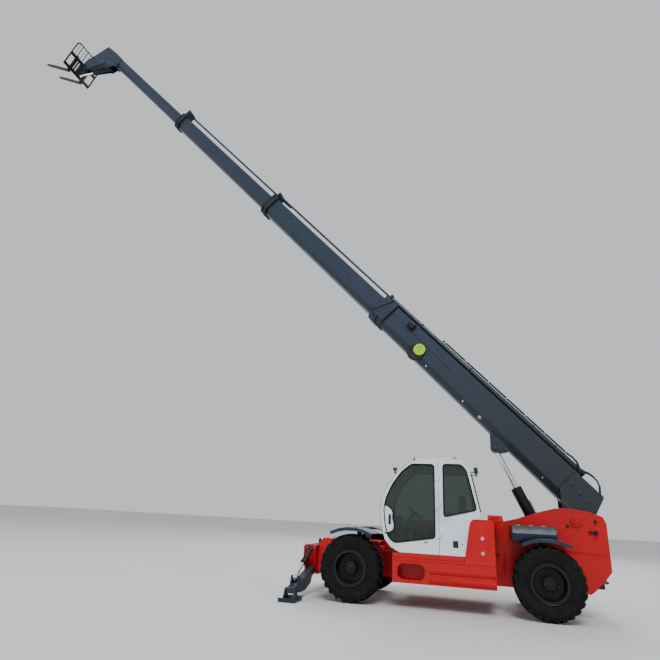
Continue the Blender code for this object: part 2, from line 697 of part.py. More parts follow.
def cab_inside():
    seat = box("seat", (-0.10, -0.98, 1.30), (0.36, -0.52, 1.42), SEAT_CLOTH, MACHINE)
    back = box("seat_back", (0.27, -0.98, 1.40), (0.40, -0.52, 2.00), None, MACHINE)
    base = box("seat_base", (-0.02, -0.90, CAB_LOW + CAB_WALL + SEAT), (0.28, -0.60, 1.32), None,
               MACHINE)
    joined(seat, back, base)
    console = box("console", (-0.98, -0.95, CAB_LOW + CAB_WALL + 0.12), (-0.72, -0.52, 1.46),
                  PLASTIC, MACHINE)
    foot = box("console_foot", (-0.76, -0.80, CAB_LOW + CAB_WALL + SEAT), (-0.68, -0.66, 1.40),
               None, MACHINE)
    column = rod("steering_column", 0.03, (-0.80, -0.75, 1.40), (-0.55, -0.75, 1.62), None, MACHINE)
    wheel = rod("steering_wheel", 0.18, (-0.555, -0.75, 1.615), (-0.535, -0.75, 1.632), None,
                MACHINE)
    joined(console, foot, column, wheel)


# ---------------------------------------------------------------- boom

def section_outline(number):
    """Cross-section (y, h) of a boom section, anticlockwise."""
    step = number * SECTION_STEP
    top = SECTION_TOP - step
    low = SECTION_TOP - SECTION_DEPTH + step
    half = SECTION_HALF - step
    return [(-half + CHAMFER_IN, low), (half - CHAMFER_IN, low), (half, low + CHAMFER_UP),
            (half, top - 0.02), (half - 0.02, top), (-half + 0.02, top), (-half, top - 0.02),
            (-half, low + CHAMFER_UP)]


def tube(name, outline, hole, first, last, finish, parent):
    """A hollow bar along the boom between two s values."""
    return plate(name, outline, -(first + last) / 2, last - first, finish, parent, "X", (hole,))


def boom():
    """The four sections, each on an empty at the boom's pivot, as fully extended."""
    pivot = empty("boom_pivot", (PIVOT_X, 0.0, PIVOT_Z), MACHINE, (0.0, BOOM_ANGLE, 0.0))
    sections = []
    for number in range(4):
        name = "boom_section_%d" % (number + 1)
        outer = section_outline(number)
        hole = inset(outer, WALLS[number])
        head = HEADS[number]
        section = tube(name, outer, hole, TAILS[number], head, SLATE, pivot)
        sections.append(section)
        if number < 3:
            collar = tube(name + "_collar", inset(outer, -COLLAR_PROUD), inset(outer, 0.001),
                          head - COLLAR, head - 0.001, None, pivot)
            guide = section_guide(number, pivot)
            joined(section, collar, *guide)
        if number > 0:
            shoes = tube(name + "_shoes", inset(outer, -(SECTION_STEP - WALLS[number - 1] - RUNNING)),
                         inset(outer, 0.001), TAILS[number] + 0.01, TAILS[number] + PAD_LENGTH,
                         None, pivot)
            joined(section, shoes)
    boom_foot(sections[0], pivot)
    extension_tubes(sections, pivot)
    return pivot


def section_guide(number, pivot):
    """Pads inside a section's head, and the upright over it that carries the tubes."""
    outer = section_outline(number)
    inside = inset(outer, WALLS[number] - 0.001)
    bearing = inset(section_outline(number + 1), -RUNNING)
    head = HEADS[number]
    pads = tube("guide_pads_%d" % number, inside, bearing, head - 0.18, head - 0.002, None, pivot)
    top = SECTION_TOP - number * SECTION_STEP
    upright = box("guide_upright_%d" % number, (-head + 0.02, -0.19 + number * 0.01, top - 0.003),
                  (-head + 0.07, 0.19 - number * 0.01, TUBE_H + 0.07), None, pivot)
    passages = ({LEFT: TUBE_RADIUS + 0.012, RIGHT: TUBE_RADIUS + 0.008},
                {RIGHT: bore(TUBE_RADIUS, TUBE_SEGMENTS)}, {})
    for side, radius in passages[number].items():
        cut(upright, rod("passage_%d" % number, radius, (-head - 0.1, side * TUBE_Y, TUBE_H),
                         (-head + 0.2, side * TUBE_Y, TUBE_H), None, pivot, TUBE_SEGMENTS))
    return pads, upright


def boom_foot(section, pivot):
    """Doubler plates with the pivot bosses, and the lift cylinders' bracket."""
    pieces = []
    doubler = [(0.06, 0.69), (-0.58, 0.69), (-0.58, 0.27), (-0.30, 0.02), (-0.18, -0.09),
               (0.05, -0.09), (0.10, -0.04), (0.16, 0.37)]
    for side, side_name in SIDES:
        pieces.append(plate("doubler_" + side_name, doubler, side * (SECTION_HALF + 0.008), 0.022,
                            None, pivot))
        pieces.append(rod("boom_boss_" + side_name, 0.09, (0.0, side * 0.26, 0.0),
                          (0.0, side * (FRAME_HALF - FRAME_PLATE - RUNNING), 0.0), None, pivot))
        pieces.append(plate("lift_lug_" + side_name,
                            [(-1.68, 0.135), (-1.82, -0.105), (-1.96, -0.105), (-2.20, 0.135)],
                            side * 0.160, 0.02, None, pivot))
    pieces.append(plate("lift_lug_middle",
                        [(-1.68, 0.125), (-1.82, -0.105), (-1.96, -0.105), (-2.20, 0.125)],
                        0.0, 0.06, None, pivot))
    pieces.append(box("boom_foot_web", (-0.20, -SECTION_HALF, 0.10), (0.05, SECTION_HALF, 0.14),
                      None, pivot))
    joined(section, *pieces)


def extension_tubes(sections, pivot):
    """The long cylinder on the outer section and the two tubes that slide over it."""
    barrel = rod("extension_barrel", BARREL_RADIUS, (-0.45, -TUBE_Y, TUBE_H),
                 (-HEADS[0] + 0.01, -TUBE_Y, TUBE_H), None, pivot, TUBE_SEGMENTS)
    cut(barrel, rod("extension_cavity", TUBE_RADIUS + 0.008, (-0.50, -TUBE_Y, TUBE_H),
                    (-HEADS[0] - 0.1, -TUBE_Y, TUBE_H), None, pivot, TUBE_SEGMENTS))
    clamps = [box("barrel_clamp_%d" % i, (-s - 0.03, -TUBE_Y - 0.03, SECTION_TOP - 0.003),
                  (-s + 0.03, -TUBE_Y + 0.03, TUBE_H - 0.042), None, pivot)
              for i, s in enumerate((0.60, 1.15, 1.70, 3.40, 4.90))]
    joined(sections[0], *clamps, barrel)
    for number, side, tail in ((1, LEFT, 5.36), (2, RIGHT, 10.10)):
        joined(sections[number], rod(
            "section_tube_%d" % number, TUBE_RADIUS, (-tail, side * TUBE_Y, TUBE_H),
            (-HEADS[number] + 0.03, side * TUBE_Y, TUBE_H), None, pivot, TUBE_SEGMENTS))


def lift_cylinders(pivot):
    eye_x = boom_x(LIFT_PIN_S, LIFT_PIN_H)
    eye_z = PIVOT_Z + LIFT_PIN_S * sin(BOOM_ANGLE) + LIFT_PIN_H * cos(BOOM_ANGLE)
    for side, side_name in SIDES:
        run = (eye_x - LIFT_BASE[0], eye_z - LIFT_BASE[1])
        hinge = empty("lift_hinge_" + side_name, (LIFT_BASE[0], side * LIFT_Y, LIFT_BASE[1]), MACHINE,
                      (0.0, -atan2(run[1], run[0]), 0.0))
        hydraulic("lift", side_name, hinge, hypot(*run), LIFT_BARREL, LIFT_ROD, LIFT_SHOWN,
                  LIFT_INSERT, LIFT_SHAFT, 0.085, 0.07, 0.048)


def hydraulic(name, side_name, hinge, length, barrel_radius, rod_radius, shown, insert, shaft,
              base_eye, width, rod_eye):
    """Barrel and rod along the hinge's X axis, the barrel with a bored base eye.

    shown is the length of bare rod, and insert the length of rod inside the barrel.
    """
    label = "_" + side_name if side_name else ""
    mouth = length - shown
    barrel = rod(name + "_barrel" + label, barrel_radius, (base_eye * 0.6, 0.0, 0.0),
                 (mouth, 0.0, 0.0), SLATE, hinge)
    eye = rod(name + "_base_eye" + label, base_eye, (0.0, -width / 2, 0.0), (0.0, width / 2, 0.0),
              None, hinge)
    hole = rod(name + "_base_bore" + label, bore(shaft), (0.0, -width, 0.0), (0.0, width, 0.0),
               None, hinge)
    cavity = rod(name + "_cavity" + label, barrel_radius - 0.014, (base_eye + 0.012, 0.0, 0.0),
                 (mouth - 0.06, 0.0, 0.0), None, hinge)
    gland = rod(name + "_gland" + label, bore(rod_radius), (mouth - 0.10, 0.0, 0.0),
                (mouth + 0.05, 0.0, 0.0), None, hinge)
    joined(barrel, eye)
    cut(barrel, hole, cavity, gland)
    shaft_rod = rod(name + "_rod" + label, rod_radius, (mouth - insert, 0.0, 0.0),
                    (length - rod_eye * 0.5, 0.0, 0.0), CHROME, hinge)
    end = rod(name + "_rod_eye" + label, rod_eye, (length, -width / 2, 0.0),
              (length, width / 2, 0.0), None, hinge)
    joined(shaft_rod, end)
    return barrel, shaft_rod


def boom_head(pivot):
    """The gooseneck: two side plates with a top web, open below round the tilt cylinder."""
    tail = -HEADS[3] - SEAT
    outline = [(tail, 0.585), (-20.84, 0.585), (-20.99, 0.05), (-21.12, -0.38), (-21.08, -0.56),
               (-20.93, -0.63), (-20.72, -0.55), (-20.45, -0.14), (-20.26, 0.10), (-20.10, -0.01),
               (-19.96, -0.02), (-19.86, 0.22), (tail, 0.22)]
    middle = HEAD_HALF - HEAD_PLATE / 2
    head = plate("boom_head", outline, -middle, HEAD_PLATE, SLATE, pivot)
    other = plate("boom_head_right", outline, middle, HEAD_PLATE, None, pivot)
    half = HEAD_HALF - HEAD_PLATE / 2
    top = box("boom_head_top", (-20.83, -half, 0.567), (tail - 0.002, half, 0.582), None, pivot)
    rear = box("boom_head_rear", (tail - 0.018, -half, 0.23), (tail - 0.003, half, 0.575), None,
               pivot)
    nose = plate("boom_head_nose", [(-20.838, 0.575), (-20.978, 0.08), (-20.963, 0.075),
                                    (-20.820, 0.572)], 0.0, 2 * half - 0.002, None, pivot)
    shaft = rod("boom_head_tilt_shaft", 0.028, (-TILT_BASE[0], -half, TILT_BASE[1]),
                (-TILT_BASE[0], half, TILT_BASE[1]), None, pivot)
    pin = rod("boom_head_pin", 0.030, (-TILT_PIVOT[0], -half, TILT_PIVOT[1]),
              (-TILT_PIVOT[0], half, TILT_PIVOT[1]), None, pivot)
    joined(head, other, top, rear, nose, shaft, pin)
    run = (-TILT_EYE[0] + TILT_BASE[0], TILT_EYE[1] - TILT_BASE[1])
    angle = atan2(run[1], run[0])
    hinge = empty("tilt_hinge", (-TILT_BASE[0], 0.0, TILT_BASE[1]), pivot, (0.0, -angle, 0.0))
    hydraulic("tilt", "", hinge, hypot(*run), TILT_BARREL, TILT_ROD, TILT_SHOWN, TILT_INSERT,
              0.028, 0.052, 0.08, 0.045)


def carriage():
    """Fork carriage with its load guard, on an empty at the tilt pivot.

    In that empty's frame -X points along the forks and +Z up the carriage.
    """
    pivot_z = PIVOT_Z + TILT_PIVOT[0] * sin(BOOM_ANGLE) + TILT_PIVOT[1] * cos(BOOM_ANGLE)
    pivot = empty("tilt_pivot", (TILT_PIVOT_X, 0.0, pivot_z), MACHINE, (0.0, FORK_ANGLE, 0.0))
    low = -PIVOT_ABOVE_FORK
    shank = -PIVOT_BEHIND_SHANK
    bar = 0.05
    frame = box("carriage", (shank, -CARRIAGE_HALF, low + 0.07), (shank + bar, CARRIAGE_HALF,
                low + 0.17), BLACK, pivot)
    top = low + CARRIAGE_HEIGHT
    pieces = [box("carriage_upper", (shank, -CARRIAGE_HALF, top - 0.10),
                  (shank + bar, CARRIAGE_HALF, top), None, pivot)]
    for number, y in enumerate((-CARRIAGE_HALF + 0.02, -0.20, 0.20, CARRIAGE_HALF - 0.02)):
        pieces.append(box("carriage_post_%d" % number, (shank + 0.006, y - 0.02, low + 0.08),
                          (shank + bar - 0.006, y + 0.02, top - 0.01), None, pivot))
    lug_half = HEAD_HALF - HEAD_PLATE - RUNNING
    eye = (boom_local(TILT_EYE)[0], boom_local(TILT_EYE)[1])
    lug = [(shank + 0.01, low + 0.10), (eye[0] + 0.01, eye[1] - 0.06), (eye[0] + 0.06, eye[1]),
           (0.06, -0.03), (0.045, 0.045), (-0.03, 0.07), (shank + 0.01, top - 0.02)]
    for side, side_name in SIDES:
        pieces.append(plate("carriage_lug_" + side_name, lug, side * (lug_half - 0.015), 0.03, None,
                            pivot))
    pin_hole = rod("carriage_pin_bore", bore(0.030), (0.0, -0.2, 0.0), (0.0, 0.2, 0.0), None, pivot)
    joined(frame, *pieces)
    guard_low = top - 0.005
    guard_top = low + BACKREST_TOP
    guard_x = shank + bar / 2
    arch = arc((-CARRIAGE_HALF + 0.12, guard_top - 0.12), 0.12, 180, 90, 4)
    arch += arc((CARRIAGE_HALF - 0.12, guard_top - 0.12), 0.12, 90, 0, 4)
    ring = [(-CARRIAGE_HALF, guard_low), *arch, (CARRIAGE_HALF, guard_low)]
    inner = [(y * (1 - 0.035 / CARRIAGE_HALF), z - 0.035 if z > guard_low + 0.2 else z)
             for y, z in reversed(ring)]
    guard = plate("carriage_guard", ring + inner, guard_x, 0.03, None, pivot, "X")
    bars = [box("guard_bar_%d" % i, (guard_x - 0.01, y - 0.014, guard_low),
                (guard_x + 0.01, y + 0.014, guard_top - 0.01), None, pivot)
            for i, y in enumerate((-0.375, -0.125, 0.125, 0.375))]
    joined(frame, guard, *bars)
    cut(frame, pin_hole)
    for side, side_name in SIDES:
        y = side * FORK_SPREAD
        blade = [(shank - SEAT, top + 0.02), (shank - SEAT - FORK_THICKNESS, top + 0.02),
                 (shank - SEAT - FORK_THICKNESS, low + FORK_THICKNESS),
                 (shank - FORK_LENGTH * 0.6, low + FORK_THICKNESS),
                 (shank - FORK_LENGTH + 0.05, low + FORK_THICKNESS * 0.5),
                 (shank - FORK_LENGTH, low + 0.012), (shank - FORK_LENGTH, low),
                 (shank - SEAT, low)]
        plate("fork_" + side_name, blade, y, FORK_WIDTH, BLACK, pivot)


def boom_local(point):
    """A boom point (s, h) in the carriage's frame."""
    ds = point[0] - TILT_PIVOT[0]
    dh = point[1] - TILT_PIVOT[1]
    turn = BOOM_ANGLE - FORK_ANGLE
    x = -(ds * cos(turn) - dh * sin(turn))
    z = ds * sin(turn) + dh * cos(turn)
    return x, z


# ---------------------------------------------------------------- stabilisers

def stabilisers():
    gap = STAB_PLATE_GAP
    half = 0.56
    outline = [(-half, 0.76), (-0.42, 0.36), (0.42, 0.36), (half, 0.76), (half - 0.04, 0.90),
               (-half + 0.04, 0.90)]
    front_x = STAB_X - gap - STAB_PLATE / 2
    rear_x = STAB_X + gap + STAB_PLATE / 2
    frame = plate("stabiliser_frame", outline, front_x, STAB_PLATE, RED, MACHINE, "X")
    pieces = [plate("stabiliser_frame_rear", outline, rear_x, STAB_PLATE, None, MACHINE, "X"),
              box("stabiliser_core", (front_x, -0.20, 0.38), (rear_x, 0.20, 0.88), None, MACHINE),
              box("stabiliser_mount", (rear_x, -0.37, 0.44), (FRAME_FRONT - SEAT, 0.37, 0.88), None,
                  MACHINE)]
    for side, side_name in SIDES:
        for label, (y, z), radius in (("leg", LEG_PIVOT, 0.035), ("base", STAB_BASE, 0.025)):
            pieces.append(rod("stab_%s_pin_%s" % (label, side_name), radius,
                              (front_x, side * y, z), (rear_x, side * y, z), None, MACHINE))
    joined(frame, *pieces)
    for side, side_name in SIDES:
        stabiliser_leg(side, side_name)


def stabiliser_leg(side, side_name):
    """A leg with its foot and cylinder, in the plane across the machine at STAB_X."""
    label = "_" + side_name
    hinge = empty("leg_hinge" + label, (STAB_X, side * LEG_PIVOT[0], LEG_PIVOT[1]), MACHINE)
    foot = (side * (LEG_FOOT[0] - LEG_PIVOT[0]), LEG_FOOT[1] - LEG_PIVOT[1])
    eye = (side * (LEG_EYE[0] - LEG_PIVOT[0]), LEG_EYE[1] - LEG_PIVOT[1])
    outline = [(0.0, -0.07), (side * 0.05, -0.08), (foot[0] * 0.9, foot[1] * 0.9 - 0.06),
               (foot[0] + side * 0.05, foot[1] - 0.04), (foot[0] + side * 0.05, foot[1] + 0.05),
               (foot[0] * 0.85, foot[1] * 0.85 + 0.055), (side * 0.06, 0.045), (-side * 0.05, 0.055),
               (-side * 0.07, 0.0)]
    leg = plate("stabiliser_leg" + label, outline, 0.0, 2 * LEG_HALF, SLATE, hinge, "X")
    pivot_bore = rod("leg_bore" + label, bore(0.035), (-0.2, 0.0, 0.0), (0.2, 0.0, 0.0), None, hinge)
    lugs = []
    for end, x in (("front", -SLOT_HALF - 0.0095), ("rear", SLOT_HALF + 0.0095)):
        lug = [(eye[0] - side * 0.16, eye[1] - 0.20), (eye[0] + side * 0.12, eye[1] - 0.26),
               (eye[0] + side * 0.05, eye[1] + 0.03), (eye[0] - side * 0.04, eye[1] + 0.03)]
        lugs.append(plate("leg_lug_%s%s" % (end, label), lug, x, 0.018, None, hinge, "X"))
    near, far = sorted((eye[0] - side * 0.26, eye[0] + side * 0.13))
    slot = box("leg_slot" + label, (-SLOT_HALF, near, eye[1] - 0.11), (SLOT_HALF, far, 0.20), None,
               hinge)
    joined(leg, *lugs)
    cut(leg, slot, pivot_bore)
    pad_hinge = empty("foot_hinge" + label, (0.0, foot[0], foot[1]), hinge)
    low = -LEG_FOOT[1] + PAD_LIFT
    pad = box("foot_pad" + label, (-0.16, -0.20, low), (0.16, 0.20, low + 0.025), SLATE, pad_hinge)
    cheeks = [plate("pad_cheek_%s%s" % (end, label),
                    [(-0.16, low + 0.02), (0.16, low + 0.02), (0.05, 0.05), (-0.05, 0.05)],
                    x, 0.015, None, pad_hinge, "X")
              for end, x in (("front", -LEG_HALF - 0.0155), ("rear", LEG_HALF + 0.0155))]
    pin = rod("pad_pin" + label, 0.022, (-LEG_HALF - 0.016, 0.0, 0.0), (LEG_HALF + 0.016, 0.0, 0.0),
              None, pad_hinge)
    joined(pad, *cheeks, pin)
    cut(leg, rod("leg_foot_bore" + label, bore(0.022), (-0.2, foot[0], foot[1]),
                 (0.2, foot[0], foot[1]), None, hinge))
    base = (side * STAB_BASE[0], STAB_BASE[1])
    run = (side * (LEG_EYE[0] - STAB_BASE[0]), LEG_EYE[1] - STAB_BASE[1])
    turn = Vector((run[0], run[1]))
    barrel_hinge = empty("stab_barrel_hinge" + label, (STAB_X, base[0], base[1]), MACHINE)
    barrel_hinge.rotation_mode = "QUATERNION"
    along = Vector((0.0, turn.x, turn.y)).normalized()
    barrel_hinge.rotation_quaternion = Matrix((
        along, Vector((1.0, 0.0, 0.0)), along.cross(Vector((1.0, 0.0, 0.0))),
    )).transposed().to_quaternion()
    hydraulic("stabiliser", side_name, barrel_hinge, turn.length, STAB_BARREL, STAB_ROD, STAB_SHOWN,
              STAB_INSERT, 0.025, 0.050, 0.07, 0.035)


def build():
    for end, end_x in (("front", -WHEELBASE / 2), ("rear", WHEELBASE / 2)):
        axle(end, end_x)
        for side, side_name in SIDES:
            wheel_station(end, end_x, side, side_name)
            fender(end, end_x, side, side_name)
    chassis()
    bodywork()
    cab()
    cab_glazing()
    cab_inside()
    pivot = boom()
    lift_cylinders(pivot)
    boom_head(pivot)
    carriage()
    stabilisers()


build()
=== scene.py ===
"""Looks of a telehandler with a four-section boom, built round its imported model.

Metres, +Z up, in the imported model's own frame. Three local frames are used: the machine
frame has X = 0 halfway between the axles, the boom frame has s along the boom from its
pivot and h square to it, and the carriage frame points along the forks and up its face.
"""

import json
import logging
from collections.abc import Sequence
from dataclasses import dataclass, field
from enum import Enum
from math import cos, radians, sin, tau

import bmesh
import bpy
from mathutils import Matrix, Vector


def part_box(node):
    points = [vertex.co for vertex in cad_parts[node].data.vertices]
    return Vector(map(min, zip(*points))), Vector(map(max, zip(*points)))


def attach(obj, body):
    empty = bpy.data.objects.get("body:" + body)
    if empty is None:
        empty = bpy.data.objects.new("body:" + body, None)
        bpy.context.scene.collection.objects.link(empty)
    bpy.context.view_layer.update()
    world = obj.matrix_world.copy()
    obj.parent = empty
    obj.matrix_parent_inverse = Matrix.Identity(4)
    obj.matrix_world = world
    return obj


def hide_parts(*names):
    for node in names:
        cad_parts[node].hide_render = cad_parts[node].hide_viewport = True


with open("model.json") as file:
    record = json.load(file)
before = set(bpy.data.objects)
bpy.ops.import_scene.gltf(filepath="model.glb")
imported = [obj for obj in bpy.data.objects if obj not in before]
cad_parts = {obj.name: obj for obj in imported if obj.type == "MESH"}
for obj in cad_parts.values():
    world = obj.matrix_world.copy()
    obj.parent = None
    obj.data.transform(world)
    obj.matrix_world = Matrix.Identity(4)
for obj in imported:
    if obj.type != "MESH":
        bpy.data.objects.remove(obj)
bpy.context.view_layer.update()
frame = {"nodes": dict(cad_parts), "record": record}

LOG = logging.getLogger("telehandler")
Point = tuple[float, float, float]
Outline = Sequence[tuple[float, float]]
SIDES = {"left": -1.0, "right": 1.0}
SIGNS = tuple(SIDES.values())
UP = (0.0, 0.0, 1.0)
ENDS = ("front", "rear")


class Slot(Enum):
    """The record's material slots."""

    RED = "red_paint"
    WHITE = "white_paint"
    SLATE = "slate_paint"
    BLACK = "black_paint"
    TYRE = "tyre_rubber"
    CHROME = "chrome"
    IRON = "cast_iron"
    GLASS = "tinted_glass"
    CLOTH = "seat_cloth"
    PLASTIC = "plastic"


# ---------------------------------------------------------------- finishes

class Graph:
    """A material's node tree, with short calls for the nodes that the finishes share."""

    def __init__(self, name: str) -> None:
        """Start an empty material.

        Args:
            name: The material's name.
        """
        self.material = bpy.data.materials.new(name)
        self.material.use_nodes = True
        self.tree = self.material.node_tree
        self.shader = self.tree.nodes["Principled BSDF"]
        self.place = self.tree.nodes.new("ShaderNodeTexCoord").outputs["Object"]

    def link(self, source: bpy.types.NodeSocket, target: bpy.types.NodeSocket) -> None:
        """Join two sockets."""
        self.tree.links.new(source, target)

    def set(self, **values: float | tuple) -> None:
        """Set constants on the shader's own sockets, with _ for a space in a name."""
        for key, value in values.items():
            self.shader.inputs[key.replace("_", " ")].default_value = value

    def noise(self, scale: float, detail: float = 4.0, rough: float = 0.55) -> bpy.types.NodeSocket:
        """A noise texture over the piece.

        Args:
            scale: How fine the noise is.
            detail: How many finer layers it has.
            rough: How strong the finer layers are.

        Returns:
            The socket with the noise's value.
        """
        node = self.tree.nodes.new("ShaderNodeTexNoise")
        node.inputs["Scale"].default_value = scale
        node.inputs["Detail"].default_value = detail
        node.inputs["Roughness"].default_value = rough
        self.link(self.place, node.inputs["Vector"])
        return node.outputs["Fac"]

    def remap(self, source: bpy.types.NodeSocket, low: float, high: float,
              to_low: float = 0.0, to_high: float = 1.0) -> bpy.types.NodeSocket:
        """Stretch a value from one span to another, clamped.

        Args:
            source: The value.
            low: Start of its span.
            high: End of its span.
            to_low: Start of the new span.
            to_high: End of the new span.

        Returns:
            The socket with the new value.
        """
        node = self.tree.nodes.new("ShaderNodeMapRange")
        for key, value in zip(("From Min", "From Max", "To Min", "To Max"),
                              (low, high, to_low, to_high)):
            node.inputs[key].default_value = value
        self.link(source, node.inputs["Value"])
        return node.outputs["Result"]

    def math(self, kind: str, first: bpy.types.NodeSocket,
             second: bpy.types.NodeSocket | float) -> bpy.types.NodeSocket:
        """One math node on a socket and a second socket or number."""
        node = self.tree.nodes.new("ShaderNodeMath")
        node.operation = kind
        self.link(first, node.inputs[0])
        if isinstance(second, float):
            node.inputs[1].default_value = second
        else:
            self.link(second, node.inputs[1])
        return node.outputs["Value"]

    def height(self) -> bpy.types.NodeSocket:
        """How far above the ground a point lies when the machine is at rest."""
        node = self.tree.nodes.new("ShaderNodeSeparateXYZ")
        self.link(self.place, node.inputs["Vector"])
        return node.outputs["Z"]

    def along(self, origin: Vector, axis: Vector) -> bpy.types.NodeSocket:
        """Distance of a point from origin along an axis.

        Args:
            origin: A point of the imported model's frame.
            axis: A unit direction.

        Returns:
            The socket with the distance.
        """
        shift = self.tree.nodes.new("ShaderNodeVectorMath")
        shift.operation = "SUBTRACT"
        self.link(self.place, shift.inputs[0])
        shift.inputs[1].default_value = origin
        dot = self.tree.nodes.new("ShaderNodeVectorMath")
        dot.operation = "DOT_PRODUCT"
        self.link(shift.outputs["Vector"], dot.inputs[0])
        dot.inputs[1].default_value = axis
        return dot.outputs["Value"]

    def edges(self, radius: float) -> bpy.types.NodeSocket:
        """A mask that is 1 on worn outer edges.

        Args:
            radius: How far the wear reaches from an edge.

        Returns:
            The socket with the mask.
        """
        soft = self.tree.nodes.new("ShaderNodeBevel")
        soft.samples = 4
        soft.inputs["Radius"].default_value = radius
        true = self.tree.nodes.new("ShaderNodeNewGeometry")
        dot = self.tree.nodes.new("ShaderNodeVectorMath")
        dot.operation = "DOT_PRODUCT"
        self.link(soft.outputs["Normal"], dot.inputs[0])
        self.link(true.outputs["Normal"], dot.inputs[1])
        chipped = self.math("MULTIPLY", self.remap(dot.outputs["Value"], 0.97, 0.86),
                            self.remap(self.noise(38.0, 6.0, 0.7), 0.52, 0.62))
        return chipped

    def blend(self, share: bpy.types.NodeSocket, under: tuple | bpy.types.NodeSocket,
              over: tuple | bpy.types.NodeSocket) -> bpy.types.NodeSocket:
        """Mix two colours.

        Args:
            share: How much of the second colour shows.
            under: The first colour, or a socket with it.
            over: The second colour, or a socket with it.

        Returns:
            The socket with the mixed colour.
        """
        node = self.tree.nodes.new("ShaderNodeMix")
        node.data_type = "RGBA"
        self.link(share, node.inputs[0])
        for socket, value in ((node.inputs[6], under), (node.inputs[7], over)):
            if isinstance(value, tuple):
                socket.default_value = (*value, 1.0)
            else:
                self.link(value, socket)
        return node.outputs[2]

    def bump(self, layers: list[tuple[bpy.types.NodeSocket, float, float]]) -> None:
        """Stack bump layers of (height socket, strength, distance) onto the shader."""
        before = None
        for source, strength, distance in layers:
            node = self.tree.nodes.new("ShaderNodeBump")
            node.inputs["Strength"].default_value = strength
            node.inputs["Distance"].default_value = distance
            self.link(source, node.inputs["Height"])
            if before is not None:
                self.link(before, node.inputs["Normal"])
            before = node.outputs["Normal"]
        self.link(before, self.shader.inputs["Normal"])

    def wave(self, scale: float, direction: str) -> bpy.types.NodeSocket:
        """Straight bands across a piece, for weaves, ribs and brushing."""
        node = self.tree.nodes.new("ShaderNodeTexWave")
        node.bands_direction = direction
        node.inputs["Scale"].default_value = scale
        node.inputs["Distortion"].default_value = 0.6
        node.inputs["Detail"].default_value = 1.0
        self.link(self.place, node.inputs["Vector"])
        return node.outputs["Fac"]


DUST = (0.16, 0.135, 0.11)
PRIMER = (0.09, 0.085, 0.08)
RUBBED = (0.20, 0.18, 0.165)
BOOM_GREY = (0.0195, 0.0270, 0.0340)
DUST_TOP = 1.25


@dataclass(frozen=True)
class Finish:
    """A finish with a colour and a roughness; its kinds differ in how they are built."""

    name: str
    colour: tuple[float, float, float]
    roughness: float
    slot: Slot

    def build(self) -> bpy.types.Material:
        """Make the material once, and give the same one after that."""
        made = bpy.data.materials.get(self.name)
        if made is None:
            graph = Graph(self.name)
            self.dress(graph)
            made = graph.material
        return made

    def dress(self, graph: Graph) -> None:
        """Fill the node tree. Each kind of finish has its own."""
        raise NotImplementedError


@dataclass(frozen=True)
class Paint(Finish):
    """Sprayed machine enamel: orange peel, faded patches, road dust and chipped edges."""

    dirt: float = 0.24
    chips: float = 0.006

    def base(self, graph: Graph) -> bpy.types.NodeSocket:
        """The enamel's colour before dust and chips."""
        faded = tuple(value * 0.82 + 0.002 for value in self.colour)
        return graph.blend(graph.remap(graph.noise(1.7, 5.0), 0.40, 0.66), self.colour, faded)

    def dress(self, graph: Graph) -> None:
        """Fill the node tree."""
        low = graph.remap(graph.height(), DUST_TOP, 0.15, 0.04, self.dirt)
        dust = graph.math("MULTIPLY", low, graph.remap(graph.noise(5.0, 8.0, 0.65), 0.42, 0.72))
        streak = graph.math("MULTIPLY", dust, 0.62)
        chipped = graph.math("MULTIPLY", graph.edges(self.chips), 0.25)
        dusty = graph.blend(streak, self.base(graph), DUST)
        graph.link(graph.blend(chipped, dusty, PRIMER), graph.shader.inputs["Base Color"])
        gloss = graph.remap(graph.noise(9.0, 6.0), 0.3, 0.75, self.roughness - 0.06,
                            self.roughness + 0.14)
        graph.link(graph.math("ADD", gloss, graph.math("MULTIPLY", dust, 0.35)),
                   graph.shader.inputs["Roughness"])
        graph.set(Coat_Weight=0.08, Coat_Roughness=0.12, Specular_IOR_Level=0.26)
        graph.bump([(graph.noise(420.0, 2.0), 0.05, 0.0006), (graph.noise(2.6, 2.0), 0.06, 0.02)])


@dataclass(frozen=True)
class BoomPaint(Paint):
    """Boom enamel, greyer near the pivot, with a rubbed line along a section's lower edges."""

    line: float = 0.0
    line_width: float = 0.018
    rub: float = 0.55
    grey_end: float = 1.2
    blue_start: float = 4.6

    def base(self, graph: Graph) -> bpy.types.NodeSocket:
        """The enamel's colour with the rubbed line."""
        sprayed = super().base(graph)
        near = graph.remap(graph.along(PIVOT, AHEAD), self.blue_start, self.grey_end)
        plain = graph.blend(near, sprayed, BOOM_GREY)
        height = graph.along(PIVOT, SQUARE)
        away = graph.math("ABSOLUTE", graph.math("SUBTRACT", height, self.line), 0.0)
        band = graph.remap(away, self.line_width, self.line_width * 0.6)
        rubbed = graph.math("MULTIPLY", band, graph.remap(graph.noise(1.6, 3.0), 0.20, 0.50))
        return graph.blend(graph.math("MULTIPLY", rubbed, self.rub), plain, RUBBED)


